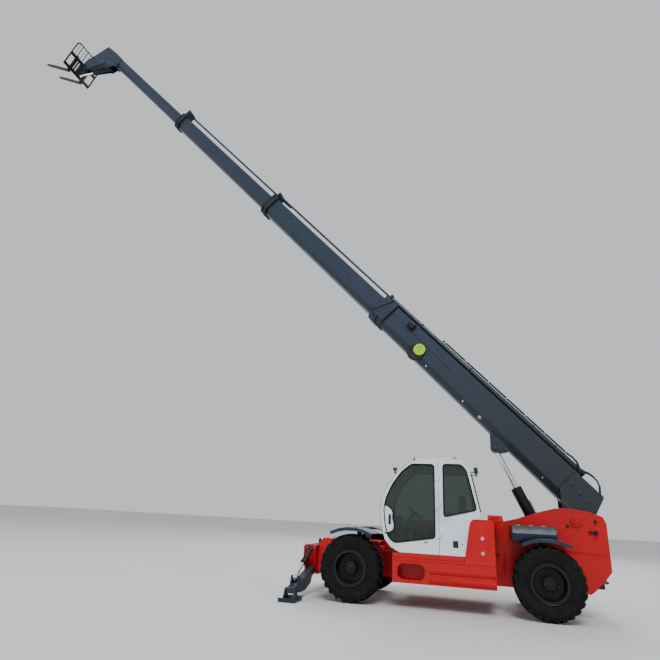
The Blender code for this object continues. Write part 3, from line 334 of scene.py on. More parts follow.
@dataclass(frozen=True)
class Rubber(Finish):
    """Tyre or seal rubber, with fine grain and dust in its low places."""

    dirt: float = 0.5

    def dress(self, graph: Graph) -> None:
        """Fill the node tree."""
        low = graph.remap(graph.height(), 1.3, 0.0, self.dirt * 0.45, self.dirt)
        dust = graph.math("MULTIPLY", low, graph.remap(graph.noise(7.0, 8.0, 0.7), 0.38, 0.72))
        worn = graph.blend(graph.remap(graph.noise(30.0, 4.0), 0.4, 0.7), self.colour,
                           tuple(value * 1.4 + 0.0005 for value in self.colour))
        graph.link(graph.blend(dust, worn, DUST), graph.shader.inputs["Base Color"])
        graph.link(graph.remap(graph.noise(16.0), 0.3, 0.7, self.roughness - 0.12,
                               self.roughness + 0.06), graph.shader.inputs["Roughness"])
        graph.set(Specular_IOR_Level=0.16)
        graph.bump([(graph.noise(260.0, 3.0), 0.22, 0.0012), (graph.noise(22.0, 5.0), 0.12, 0.004)])


@dataclass(frozen=True)
class Metal(Finish):
    """Bare, plated or cast metal."""

    grain: float = 300.0
    relief: float = 0.03
    soil: float = 0.25

    def dress(self, graph: Graph) -> None:
        """Fill the node tree."""
        stain = graph.math("MULTIPLY", graph.remap(graph.noise(6.0, 7.0, 0.7), 0.46, 0.75), self.soil)
        dull = tuple(value * 0.45 for value in self.colour)
        graph.link(graph.blend(stain, self.colour, dull), graph.shader.inputs["Base Color"])
        graph.link(graph.remap(graph.noise(24.0, 6.0), 0.3, 0.72, self.roughness * 0.7,
                               self.roughness * 1.5 + 0.03), graph.shader.inputs["Roughness"])
        graph.set(Metallic=1.0)
        graph.bump([(graph.noise(self.grain, 4.0), self.relief * 4.0, 0.0008),
                    (graph.wave(90.0, "DIAGONAL"), self.relief, 0.0004)])


@dataclass(frozen=True)
class Pane(Finish):
    """Clear or tinted glass and lamp lenses, with a film of dust."""

    ribs: float = 0.0

    def dress(self, graph: Graph) -> None:
        """Fill the node tree."""
        film = graph.remap(graph.noise(4.0, 7.0, 0.7), 0.40, 0.80)
        tint = graph.blend(graph.math("MULTIPLY", film, 0.06), self.colour, DUST)
        graph.link(tint, graph.shader.inputs["Base Color"])
        graph.link(graph.remap(film, 0.0, 1.0, self.roughness, self.roughness + 0.10),
                   graph.shader.inputs["Roughness"])
        graph.set(Transmission_Weight=0.92, IOR=1.45)
        ripple = graph.wave(self.ribs, "X") if self.ribs else graph.noise(2.0, 1.0)
        graph.bump([(ripple, 0.30 if self.ribs else 0.012, 0.002)])


@dataclass(frozen=True)
class Moulding(Finish):
    """Moulded plastic with a fine leather-like grain."""

    grain: float = 240.0

    def dress(self, graph: Graph) -> None:
        """Fill the node tree."""
        pale = tuple(value * 1.35 + 0.006 for value in self.colour)
        graph.link(graph.blend(graph.remap(graph.noise(8.0, 6.0), 0.4, 0.7), self.colour, pale),
                   graph.shader.inputs["Base Color"])
        graph.link(graph.remap(graph.noise(20.0), 0.3, 0.7, self.roughness - 0.08,
                               self.roughness + 0.12), graph.shader.inputs["Roughness"])
        cells = graph.tree.nodes.new("ShaderNodeTexVoronoi")
        cells.inputs["Scale"].default_value = self.grain
        graph.link(graph.place, cells.inputs["Vector"])
        graph.bump([(cells.outputs["Distance"], 0.18, 0.0008), (graph.noise(60.0), 0.06, 0.002)])


@dataclass(frozen=True)
class Cloth(Finish):
    """Woven seat fabric with crossing threads and a soft sheen."""

    threads: float = 210.0

    def dress(self, graph: Graph) -> None:
        """Fill the node tree."""
        weave = graph.math("MULTIPLY", graph.wave(self.threads, "X"), graph.wave(self.threads, "Z"))
        mixed = graph.blend(weave, tuple(value * 0.55 for value in self.colour), self.colour)
        worn = tuple(value * 1.5 + 0.01 for value in self.colour)
        graph.link(graph.blend(graph.math("MULTIPLY", graph.noise(5.0), 0.5), mixed, worn),
                   graph.shader.inputs["Base Color"])
        graph.link(graph.remap(weave, 0.0, 1.0, self.roughness, self.roughness - 0.12),
                   graph.shader.inputs["Roughness"])
        graph.set(Sheen_Weight=0.35, Sheen_Roughness=0.4)
        graph.bump([(weave, 0.5, 0.0009), (graph.noise(9.0), 0.10, 0.006)])


RED = Paint("red_enamel", (0.49, 0.0018, 0.0052), 0.33, Slot.RED, dirt=0.16)
WHITE = Paint("cab_white_enamel", (0.72, 0.77, 0.83), 0.28, Slot.WHITE, dirt=0.10)
SLATE = Paint("slate_enamel", (0.0145, 0.028, 0.049), 0.36, Slot.SLATE, dirt=0.16)
GREY = Paint("grey_enamel", BOOM_GREY, 0.36, Slot.SLATE, dirt=0.16)
BLACK = Paint("black_enamel", (0.0028, 0.0034, 0.0048), 0.46, Slot.BLACK, dirt=0.05)
LIME = Paint("lime_enamel", (0.36, 0.66, 0.015), 0.36, Slot.PLASTIC)
# Near-black enamel for collar bands, seams and linkage guards; under the outer section's head it is
# painted shade.
DARK_BAND_AND_SHADE = Paint("dark_band_and_painted_shade_enamel", (0.003, 0.004, 0.006), 0.55, Slot.SLATE, dirt=0.05)
TYRE = Rubber("tyre_tread_rubber", (0.0034, 0.0038, 0.0046), 0.84, Slot.TYRE, dirt=0.07)
SEAL = Rubber("seal_rubber", (0.004, 0.004, 0.0045), 0.60, Slot.PLASTIC, dirt=0.02)
PIPE = Paint("black_steel_pipe", (0.008, 0.008, 0.009), 0.34, Slot.BLACK, dirt=0.05)
CHROME = Metal("hard_chrome", (0.86, 0.87, 0.89), 0.20, Slot.CHROME, 500.0, 0.008, 0.10)
ZINC = Metal("zinc_plate", (0.52, 0.53, 0.54), 0.34, Slot.CHROME, 380.0, 0.03, 0.35)
IRON = Metal("rough_casting", (0.05, 0.05, 0.05), 0.62, Slot.IRON, 120.0, 0.12, 0.6)
STEEL = Metal("worn_fork_steel", (0.070, 0.072, 0.078), 0.46, Slot.BLACK, 160.0, 0.06, 0.6)
GLASS = Pane("green_tinted_glass", (0.17, 0.235, 0.205), 0.01, Slot.GLASS)
CLEAR = Pane("clear_lens", (0.90, 0.92, 0.93), 0.04, Slot.GLASS, 120.0)
AMBER = Pane("amber_lens", (0.95, 0.38, 0.03), 0.10, Slot.GLASS, 150.0)
RUBY = Pane("red_lens", (0.70, 0.02, 0.02), 0.10, Slot.GLASS, 150.0)
PLASTIC = Moulding("dark_moulding", (0.010, 0.010, 0.011), 0.58, Slot.PLASTIC)
TRIM = Moulding("grey_cab_moulding", (0.030, 0.032, 0.034), 0.62, Slot.PLASTIC)
CLOTH = Cloth("seat_weave", (0.040, 0.042, 0.048), 0.92, Slot.CLOTH)
BY_SLOT = {Slot.RED: RED, Slot.WHITE: WHITE, Slot.SLATE: SLATE, Slot.BLACK: BLACK, Slot.TYRE: TYRE,
           Slot.CHROME: CHROME, Slot.IRON: IRON, Slot.GLASS: GLASS, Slot.CLOTH: CLOTH,
           Slot.PLASTIC: PLASTIC}


# ---------------------------------------------------------------- frames and mesh tools

def middle(node: str) -> Vector:
    """The middle of a CAD node's box."""
    low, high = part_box(node)
    return (Vector(low) + Vector(high)) / 2


def joint(name: str) -> dict:
    """The record's entry for a joint."""
    return next(entry for entry in frame["record"]["behaviour"]["joints"] if entry["name"] == name)


def mount(name: str) -> dict:
    """The record's entry for a mount."""
    return next(entry for entry in frame["record"]["mounts"] if entry["name"] == name)


def axes(across: Vector, along: Vector, up: Vector, origin: Vector) -> Matrix:
    """A local frame from its three axes and its origin."""
    turn = Matrix((across, along, up)).transposed().to_4x4()
    return Matrix.Translation(origin) @ turn


MID_X = (middle("tyre_front_left").x + middle("tyre_rear_left").x) / 2
MACHINE = Matrix.Translation((MID_X, 0.0, 0.0))
AHEAD = Vector(joint("boom_extend_2")["axis"])
SQUARE = Vector((AHEAD.z, 0.0, -AHEAD.x))
SIDEWAYS = Vector((0.0, 1.0, 0.0))
PIVOT = Vector(joint("boom_lift")["pos_m"])
BOOM = axes(AHEAD, SIDEWAYS, SQUARE, PIVOT)
FORK_UP = Vector(mount("fork_top_left")["axis"])
FORK_AHEAD = Vector((-FORK_UP.z, 0.0, FORK_UP.x))
CARRIAGE = axes(FORK_AHEAD, SIDEWAYS, FORK_UP, Vector(joint("fork_tilt")["pos_m"]))


def machine_box(node: str) -> tuple[Vector, Vector]:
    """A CAD node's box with X counted from halfway between the axles."""
    low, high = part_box(node)
    shift = Vector((MID_X, 0.0, 0.0))
    return Vector(low) - shift, Vector(high) - shift


FACING = {"x": lambda a, b, depth: Vector((depth, a, b)),
          "y": lambda a, b, depth: Vector((a, depth, b)),
          "z": lambda a, b, depth: Vector((a, b, depth))}


def circle(count: int, radius: float, centre: tuple[float, float] = (0.0, 0.0),
           phase: float = 0.0) -> Outline:
    """Points spread evenly round a circle.

    Args:
        count: How many points.
        radius: The circle's radius.
        centre: Its middle.
        phase: How many steps past the first axis it starts.

    Returns:
        The points.
    """
    turns = [tau * (k + phase) / count for k in range(count)]
    return [(centre[0] + radius * cos(turn), centre[1] + radius * sin(turn)) for turn in turns]


def rounded(outline: Outline, radius: float, steps: int = 5) -> Outline:
    """A closed outline with its corners rounded.

    Args:
        outline: Corner points in order.
        radius: How far from a corner its curve starts.
        steps: How many stretches each curve has.

    Returns:
        The points of the rounded outline.
    """
    smooth = []
    count = len(outline)
    for i, corner in enumerate(outline):
        here = Vector(corner)
        before = Vector(outline[i - 1]) - here
        after = Vector(outline[(i + 1) % count]) - here
        start = here + before.normalized() * min(radius, before.length * 0.45)
        end = here + after.normalized() * min(radius, after.length * 0.45)
        for k in range(steps + 1):
            t = k / steps
            smooth.append(tuple(start * (1 - t) ** 2 + here * 2 * t * (1 - t) + end * t ** 2))
    return smooth


@dataclass
class Pen:
    """Gathers closed shapes in one local frame, and makes them one piece."""

    name: str
    space: Matrix = field(default_factory=MACHINE.copy)
    mesh: bmesh.types.BMesh = field(default_factory=bmesh.new)

    def grid(self, rows: list[list[Vector]], loop: bool = True, caps: bool = True,
             ring: bool = False) -> None:
        """Skin a list of point rows.

        Args:
            rows: Rows with the same number of points.
            loop: Whether each row closes on itself.
            caps: Whether the first and last rows are filled.
            ring: Whether the last row joins the first.
        """
        made = [[self.mesh.verts.new(self.space @ point) for point in row] for row in rows]
        width = len(rows[0])
        span = width if loop else width - 1
        pairs = list(zip(made, made[1:])) + ([(made[-1], made[0])] if ring else [])
        for first, second in pairs:
            for i in range(span):
                j = (i + 1) % width
                self.mesh.faces.new((first[i], first[j], second[j], second[i]))
        if caps and not ring:
            self.mesh.faces.new(made[0])
            self.mesh.faces.new(list(reversed(made[-1])))

    def block(self, near: Point, far: Point, edge: float = 0.004) -> None:
        """A box with softened edges.

        Args:
            near: One corner.
            far: The corner across from it.
            edge: Width of the softened edges.
        """
        small = Vector([min(pair) for pair in zip(near, far)])
        big = Vector([max(pair) for pair in zip(near, far)])
        made = bmesh.new()
        bmesh.ops.create_cube(made, size=1.0)
        bmesh.ops.scale(made, vec=big - small, verts=made.verts)
        bmesh.ops.translate(made, vec=(small + big) / 2, verts=made.verts)
        if edge:
            width = min(edge, min(big - small) * 0.4)
            bmesh.ops.bevel(made, geom=made.edges[:], offset=width, segments=2, profile=0.6,
                            affect="EDGES", clamp_overlap=True)
        self.absorb(made)

    def absorb(self, made: bmesh.types.BMesh) -> None:
        """Take in a small mesh that was drawn in the pen's frame."""
        bmesh.ops.transform(made, matrix=self.space, verts=made.verts)
        carrier = bpy.data.meshes.new("carrier")
        made.to_mesh(carrier)
        made.free()
        self.mesh.from_mesh(carrier)
        bpy.data.meshes.remove(carrier)

    def lathe(self, start: Point, axis: Point, profile: Outline, segments: int = 32,
              ring: bool = False) -> None:
        """A turned shape from (radius, distance along the axis) points.

        Args:
            start: Where the axis starts.
            axis: Its direction.
            profile: The points, with radius 0 where the shape closes.
            segments: How many facets go round.
            ring: Whether the last point joins the first, which leaves the middle open.
        """
        direction = Vector(axis).normalized()
        side = direction.orthogonal().normalized()
        other = direction.cross(side)
        rows = []
        for radius, along in profile:
            centre = Vector(start) + direction * along
            reach = max(radius, 0.0002)
            rows.append([centre + (side * cos(tau * k / segments) + other * sin(tau * k / segments))
                         * reach for k in range(segments)])
        self.grid(rows, ring=ring)

    def turned(self, start: Point, axis: Point, profile: Outline, segments: int = 24) -> None:
        """A turned shape with a flat middle at both ends.

        Args:
            start: Where the axis starts.
            axis: Its direction.
            profile: The (radius, distance) points between the two middles.
            segments: How many facets go round.
        """
        first, last = (0.0, profile[0][1]), (0.0, profile[-1][1])
        self.lathe(start, axis, [first, *profile, last], segments)

    def bar(self, start: Point, end: Point, radius: float, segments: int = 18,
            edge: float = 0.002) -> None:
        """A round bar with softened ends."""
        run = Vector(end) - Vector(start)
        length = run.length
        soft = min(edge, length * 0.3, radius * 0.4)
        self.turned(start, run, [(radius - soft, 0.0), (radius, soft), (radius, length - soft),
                                 (radius - soft, length)], segments)

    def bolt(self, at: Point, axis: Point, radius: float = 0.014, height: float = 0.010) -> None:
        """A hexagon head on a washer."""
        self.turned(at, axis, [(radius * 1.5, -0.002), (radius * 1.5, 0.003),
                               (radius * 1.1, 0.0035)], 16)
        self.turned(at, axis, [(radius, 0.002), (radius, height), (radius * 0.82, height + 0.003)], 6)

    def pipe(self, points: Sequence[Point], radius: float, segments: int = 8,
             closed: bool = False, flat: float = 1.0) -> None:
        """A tube that follows a line of points.

        Args:
            points: The line.
            radius: The tube's radius.
            segments: How many facets go round.
            closed: Whether the line closes on itself.
            flat: Thickness across the second direction, as a share of the radius.
        """
        line = [Vector(point) for point in points]
        count = len(line)
        rows = []
        side = None
        for i, here in enumerate(line):
            ahead = line[(i + 1) % count] if closed or i + 1 < count else here
            behind = line[i - 1] if closed or i else here
            direction = (ahead - behind).normalized()
            if side is None:
                side = direction.orthogonal().normalized()
            side = (side - direction * side.dot(direction)).normalized()
            other = direction.cross(side)
            rows.append([here + side * (cos(tau * k / segments) * radius)
                         + other * (sin(tau * k / segments) * radius * flat)
                         for k in range(segments)])
        self.grid(rows, ring=closed)

    def slab(self, outline: Outline, low: float, high: float, facing: str = "y") -> None:
        """A flat plate from an outline.

        Args:
            outline: (x, z) points for facing y, (y, z) for x, or (x, y) for z.
            low: One face of the plate, along its facing axis.
            high: The other face.
            facing: The axis that the plate is square to.
        """
        self.grid([[FACING[facing](a, b, level) for a, b in outline]
                   for level in sorted((low, high))])

    def loop(self, outline: Outline, level: float, radius: float, facing: str = "y",
             segments: int = 8, flat: float = 1.0) -> None:
        """A closed bead along a flat outline.

        Args:
            outline: Its points, as for slab.
            level: Where it lies along its facing axis.
            radius: The bead's radius.
            facing: The axis that the outline is square to.
            segments: How many facets go round the bead.
            flat: Thickness of the bead, as for pipe.
        """
        points = [FACING[facing](a, b, level) for a, b in outline]
        self.pipe(points, radius, segments, closed=True, flat=flat)

    def piece(self, finish: Finish, body: str = "chassis", sharp: float = 35.0) -> bpy.types.Object:
        """Close the mesh, dress it and let it ride on a body.

        Args:
            finish: What it is made of.
            body: The body it moves with.
            sharp: Edges steeper than this many degrees stay sharp.

        Returns:
            The new piece.
        """
        bmesh.ops.recalc_face_normals(self.mesh, faces=self.mesh.faces)
        data = bpy.data.meshes.new(self.name)
        self.mesh.to_mesh(data)
        self.mesh.free()
        data.shade_smooth()
        data.set_sharp_from_angle(angle=radians(sharp))
        data.materials.append(finish.build())
        made = bpy.data.objects.new(self.name, data)
        bpy.context.scene.collection.objects.link(made)
        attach(made, body)
        LOG.info("piece %s on %s, %d faces", self.name, body, len(data.polygons))
        return made


# ---------------------------------------------------------------- finishes of the CAD nodes

@dataclass
class NodeFinishes:
    """Gives each CAD node its finish, and softens the edges of plate work."""

    edge: float = 0.004
    rub_line: float = 0.132
    rub_outer: float = 0.12
    rub_inner: float = 0.60
    section_step: float = 0.045
    soft: tuple[str, ...] = ("chassis_frame", "stabiliser", "axle", "knuckle", "fender", "toolbox",
                             "side_skirt", "rear_side_box", "engine_bay", "engine_hood", "carriage",
                             "foot_pad", "fork", "boom_head", "door_frame", "counterweight")

    def finish_of(self, name: str, slot: str) -> Finish:
        """The finish of a node, from its name and its record slot.

        Args:
            name: The node's name.
            slot: Its material slot in the record.

        Returns:
            The finish.
        """
        if name.startswith("boom_section_"):
            number = int(name[-1])
            line = self.rub_line + self.section_step * (number - 1)
            rub = self.rub_outer if number == 1 else self.rub_inner
            return BoomPaint("section_%d_enamel" % number, SLATE.colour, 0.38, Slot.SLATE,
                             line=line, rub=rub)
        if name.startswith("fork_"):
            return STEEL
        if name.endswith(("_barrel", "_barrel_left", "_barrel_right")):
            return BLACK
        return BY_SLOT[Slot(slot)]

    def apply(self) -> None:
        """Dress every node."""
        slots = {entry["node"]: entry["material_slot"] for entry in frame["record"]["subparts"]}
        for name, node in frame["nodes"].items():
            made = self.finish_of(name, slots[name]).build()
            for holder in node.material_slots:
                holder.link = "OBJECT"
                holder.material = made
            if name.startswith(self.soft):
                weld = node.modifiers.new("weld", "WELD")
                weld.merge_threshold = 0.00005
                bevel = node.modifiers.new("edges", "BEVEL")
                bevel.width = self.edge
                bevel.segments = 2
                bevel.limit_method = "ANGLE"
                bevel.angle_limit = radians(40.0)
                bevel.use_clamp_overlap = True
            LOG.info("finish %s on node %s", made.name, name)


# ---------------------------------------------------------------- wheels and axles

@dataclass
class Wheel:
    """One wheel: a lugged tyre in place of the plain one, and the rim's hub, nuts and lock ring."""

    end: str
    side: str
    lugs: int = 25
    lug_sweep: float = 0.17
    lug_top: float = 0.021
    lug_foot: float = 0.029
    carcass: float = 0.556
    nuts: int = 10
    nut_circle: float = 0.160
    disc_face: float = 0.0305
    hub_bolts: int = 8
    hub_circle: float = 0.078
    hub_face: float = 0.1655
    rim_radius: float = 0.3125

    def __post_init__(self) -> None:
        """Read the wheel's place and sizes from its CAD nodes."""
        self.label = self.end + "_" + self.side
        low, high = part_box("tyre_" + self.label)
        self.radius = (high[2] - low[2]) / 2
        self.half = (high[1] - low[1]) / 2
        self.body = "wheel_" + self.label
        outboard = Vector((0.0, SIDES[self.side], 0.0))
        self.space = axes(Vector((1.0, 0.0, 0.0)), outboard, Vector((0.0, 0.0, 1.0)),
                          middle("tyre_" + self.label))
        rim_low, rim_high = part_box("rim_" + self.label)
        self.lip = max(abs(rim_low[1]), abs(rim_high[1])) - abs(middle("tyre_" + self.label).y)

    def tyre(self) -> None:
        """Carcass with sidewall rings, and two rows of angled lugs."""
        pen = Pen("tyre_lugged_" + self.label, self.space)
        half, skin = self.half, self.carcass
        outer = [(0.301, 0.192), (0.322, 0.1985), (0.345, 0.207), (0.372, 0.2125), (0.378, 0.2165),
                 (0.388, 0.2165), (0.394, 0.2135), (0.440, half - 0.002), (0.470, half - 0.001),
                 (0.476, half + 0.001), (0.486, half + 0.001), (0.492, half - 0.002),
                 (0.520, half - 0.008), (skin - 0.010, half - 0.026), (skin, half - 0.060)]
        ring = outer + [(skin + 0.004, 0.06), (skin + 0.005, 0.0), (skin + 0.004, -0.06)]
        ring += [(radius, -along) for radius, along in reversed(outer)]
        segments = 72
        rows = []
        for a, b in circle(segments, 1.0):
            rows.append([Vector((radius * a, y, radius * b)) for radius, y in ring])
        pen.grid(rows, ring=True)
        for row in SIGNS:
            for k in range(self.lugs):
                self.lug(pen, row, tau * (k + 0.25 + 0.25 * row) / self.lugs)
        made = pen.piece(TYRE, self.body, 28.0)
        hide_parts("tyre_" + self.label)

    def lug(self, pen: Pen, row: float, start: float) -> None:
        """One lug, from the crown out over the shoulder.

        Args:
            pen: Where it is drawn.
            row: Which half of the tread, -1 or 1.
            start: The angle at which it starts on the crown.
        """
        stations = 7
        rows = []
        for k in range(stations):
            share = k / (stations - 1)
            across = 0.008 + (self.half - 0.006) * share
            drop = max(0.0, across - self.half * 0.62) / (self.half * 0.38)
            top = self.radius - 0.001 - 0.040 * drop ** 2
            foot = self.carcass - 0.006 - 0.030 * drop ** 2
            across = min(across, self.half - 0.0005)
            angle = start + self.lug_sweep * share ** 0.85
            row_points = []
            for radius, width in ((foot, -self.lug_foot), (top, -self.lug_top),
                                  (top, self.lug_top), (foot, self.lug_foot)):
                turn = angle + width * (1.0 + 0.25 * share) / radius
                row_points.append(Vector((radius * cos(turn), row * across, radius * sin(turn))))
            rows.append(row_points)
        pen.grid(rows)

    def trim(self) -> None:
        """Wheel nuts, hub bolts, cap, lock ring and valve."""
        pen = Pen("wheel_trim_" + self.label, self.space)
        out = (0.0, 1.0, 0.0)
        for x, z in circle(self.nuts, self.nut_circle):
            pen.bolt((x, self.disc_face, z), out, 0.017, 0.024)
            pen.bar((x, 0.05, z), (x, 0.068, z), 0.009, 10)
        for x, z in circle(self.hub_bolts, self.hub_circle, phase=0.5):
            pen.bolt((x, self.hub_face, z), out, 0.009, 0.008)
        pen.turned((0.0, self.hub_face - 0.001, 0.0), out,
                   [(0.055, 0.0), (0.055, 0.012), (0.046, 0.020), (0.020, 0.023)], 32)
        pen.piece(BLACK, self.body)
        ring = Pen("lock_ring_" + self.label, self.space)
        ring.loop(circle(64, self.rim_radius), self.lip - 0.001, 0.0075)
        ring.pipe([(0.20, 0.085, 0.10), (0.22, 0.12, 0.105), (0.235, 0.165, 0.108)], 0.006)
        ring.piece(BLACK, self.body)

    def build(self) -> None:
        """Make the wheel's pieces."""
        self.tyre()
        self.trim()


@dataclass
class AxleTrim:
    """Differential covers, drain plug and kingpin caps of one axle."""

    end: str
    cover_bolts: int = 12
    cover_circle: float = 0.180
    cover_face: float = 0.1502
    kingpin_face: float = 0.1895

    def build(self) -> None:
        """Make the axle's small pieces."""
        centre = middle("tyre_%s_left" % self.end)
        centre.y = 0.0
        pen = Pen("axle_trim_" + self.end, Matrix.Translation(centre))
        for side in SIGNS:
            face = side * self.cover_face
            out = (0.0, side, 0.0)
            for x, z in circle(self.cover_bolts, self.cover_circle):
                pen.bolt((x, face, z), out, 0.011, 0.009)
            pen.turned((0.0, face, 0.0), out, [(0.155, -0.01), (0.150, 0.012), (0.13, 0.022)], 40)
            for x in (-0.10, 0.10):
                pen.bolt((x, side * 0.30, 0.18), (x, 0.0, 0.0), 0.014, 0.010)
        pen.bar((0.0, 0.0, -0.20), (0.0, 0.0, -0.222), 0.03, 6)
        pen.piece(IRON)
        for side in SIDES:
            label = self.end + "_" + side
            pin = Vector(joint("steer_" + label)["pos_m"])
            caps = Pen("kingpin_caps_" + label, Matrix.Translation(pin))
            for up in SIGNS:
                face = up * self.kingpin_face
                out = (0.0, 0.0, up)
                caps.turned((0.0, 0.0, face), out, [(0.062, -0.004), (0.062, 0.010), (0.048, 0.016)], 28)
                for x, y in circle(4, 0.045, phase=0.5):
                    caps.bolt((x, y, face + up * 0.010), out, 0.007, 0.007)
            caps.piece(IRON, "knuckle_" + label)


# ---------------------------------------------------------------- chassis and bodywork

@dataclass
class ChassisTrim:
    """Pivot bosses, stiffeners, bolts, lamps and hitch on the frame and its tower."""

    side_face: float = 0.400
    boss_radius: float = 0.088
    boss_bolts: int = 8
    hole_places: Outline = ((2.182, 1.515), (2.656, 1.62))
    keeper: tuple[float, float] = (2.553, 1.434)
    crosspin: tuple[float, float] = (2.640, 1.425)
    crease: Outline = ((2.02, 1.125), (2.42, 1.098), (2.835, 1.090))

    def tower(self) -> None:
        """Pivot bosses, crease, openings and pins on both sides, and the plate beside the tank; the
        openings are black discs of painted shade.
        """
        pivot = PIVOT - Vector((MID_X, 0.0, 0.0))
        red = Pen("tower_trim")
        dark = Pen("tower_openings")
        for sign in SIGNS:
            face = sign * (self.side_face + 0.020)
            out = (0.0, sign, 0.0)
            red.turned((pivot.x, face, pivot.z), out,
                       [(self.boss_radius, -0.004), (self.boss_radius, 0.008), (0.070, 0.012),
                        (0.062, 0.006), (0.040, 0.006), (0.034, 0.020)], 40)
            for x, z in circle(self.boss_bolts, 0.078, (pivot.x, pivot.z)):
                dark.bolt((x, face + sign * 0.009, z), out, 0.006, 0.006)
            skin = sign * self.side_face
            for x, z in self.hole_places:
                # Black disc flush with the plate: painted shade standing for the hole's dark inside.
                dark.turned((x, skin, z), out, [(0.031, -0.002), (0.031, 0.002)], 28)
                red.loop(circle(32, 0.034, (x, z)), skin + sign * 0.001, 0.005, segments=6)
            red.grid([[Vector((x, skin - sign * 0.002, z + 0.016)), Vector((x, skin + sign * 0.016, z)),
                       Vector((x, skin + sign * 0.016, z - 0.006)),
                       Vector((x, skin - sign * 0.002, z - 0.060))] for x, z in self.crease])
            for (x, z), proud, radius in ((self.keeper, 0.045, 0.024), (self.crosspin, 0.070, 0.036)):
                dark.bar((x, skin, z), (x, skin + sign * proud, z), radius)
            dark.bar((2.553, skin + sign * 0.030, 1.434), (2.64, skin + sign * 0.030, 1.428), 0.013)
            dark.block((2.646, skin, 1.55), (2.666, skin + sign * 0.004, 1.60), 0.0)
            dark.bar((2.64, skin + sign * 0.068, 1.425), (2.64, skin + sign * 0.080, 1.425), 0.026)
        red.block((0.80, -0.405, 0.60), (1.06, -0.380, 1.585), 0.003)
        dark.block((0.918, -0.425, 0.930), (0.954, -0.403, 0.982), 0.006)
        red.piece(RED)
        dark.piece(BLACK)

    def fasteners(self) -> None:
        """Rows of bolts where axles, step brackets and the cab are held."""
        pen = Pen("frame_bolts")
        for sign in SIGNS:
            out = (0.0, sign, 0.0)
            for centre in (-1.725, 1.725):
                for x in (-0.16, 0.16):
                    pen.bolt((centre + x, sign * self.side_face, 0.84), out, 0.015, 0.012)
            for x in (-2.50, -2.36, -2.22):
                for z in (0.62, 0.86):
                    pen.bolt((x, sign * self.side_face, z), out, 0.014, 0.011)
            for x, z in ((2.48, 0.92), (2.60, 0.68)):
                pen.bolt((x, sign * self.side_face, z), out, 0.012, 0.010)
        pen.piece(RED)

    def lamps(self) -> None:
        """Headlamps in the front plate, and lamp clusters on the counterweight."""
        shell = Pen("lamp_housings")
        lenses = {"headlamp_lenses": CLEAR, "tail_lenses": RUBY, "indicator_lenses": AMBER}
        pens = {name: Pen(name) for name in lenses}
        back = machine_box("counterweight")[1].x
        for sign in SIGNS:
            y = sign * 0.30
            shell.lathe((-2.575, y, 0.97), (-1.0, 0.0, 0.0),
                        [(0.0, 0.0), (0.066, 0.0), (0.066, 0.022), (0.058, 0.026), (0.0, 0.020)], 28)
            pens["headlamp_lenses"].lathe((-2.599, y, 0.97), (-1.0, 0.0, 0.0),
                                          [(0.0, -0.004), (0.054, -0.004), (0.050, 0.004),
                                           (0.0, 0.010)], 28)
            shell.block((back, sign * 0.10, 1.00), (back + 0.045, sign * 0.34, 1.12), 0.010)
            for name, y in (("tail_lenses", 0.16), ("indicator_lenses", 0.28)):
                pens[name].lathe((back + 0.044, sign * y, 1.06), (1.0, 0.0, 0.0),
                                 [(0.0, -0.002), (0.044, -0.002), (0.042, 0.008), (0.028, 0.012),
                                  (0.0, 0.014)], 28)
        shell.piece(BLACK)
        for name, finish in lenses.items():
            pens[name].piece(finish)

    def hitch(self) -> None:
        """Rear towing pin in a jaw under the lamps."""
        back = machine_box("counterweight")[1].x
        pen = Pen("towing_jaw")
        for z in (0.575, 0.665):
            pen.slab(rounded([(back, -0.09), (back + 0.14, -0.06), (back + 0.14, 0.06), (back, 0.09)],
                             0.04), z, z + 0.022, "z")
        pen.block((back - 0.002, -0.11, 0.54), (back + 0.016, 0.11, 0.73))
        for y in (-0.085, 0.085):
            for z in (0.56, 0.71):
                pen.bolt((back + 0.016, y, z), (1.0, 0.0, 0.0))
        pen.piece(BLACK)
        pin = Pen("towing_pin")
        pin.bar((back + 0.10, 0.0, 0.55), (back + 0.10, 0.0, 0.72), 0.016)
        pin.loop(circle(20, 0.022, (back + 0.10, 0.743), -5.0), 0.0, 0.005)
        pin.piece(ZINC)

    def lines(self) -> None:
        """Steel oil lines that run along the inside of the frame."""
        pen = Pen("oil_lines")
        for k in range(4):
            y, z = 0.30 - 0.035 * k, 0.462
            pen.pipe([(-1.28, y, z), (-0.40, y, z), (0.40, y, z), (1.28, y, z)], 0.008)
        pen.piece(ZINC)

    def build(self) -> None:
        """Make all the frame's trim."""
        self.tower()
        self.fasteners()
        self.lamps()
        self.hitch()
        self.lines()


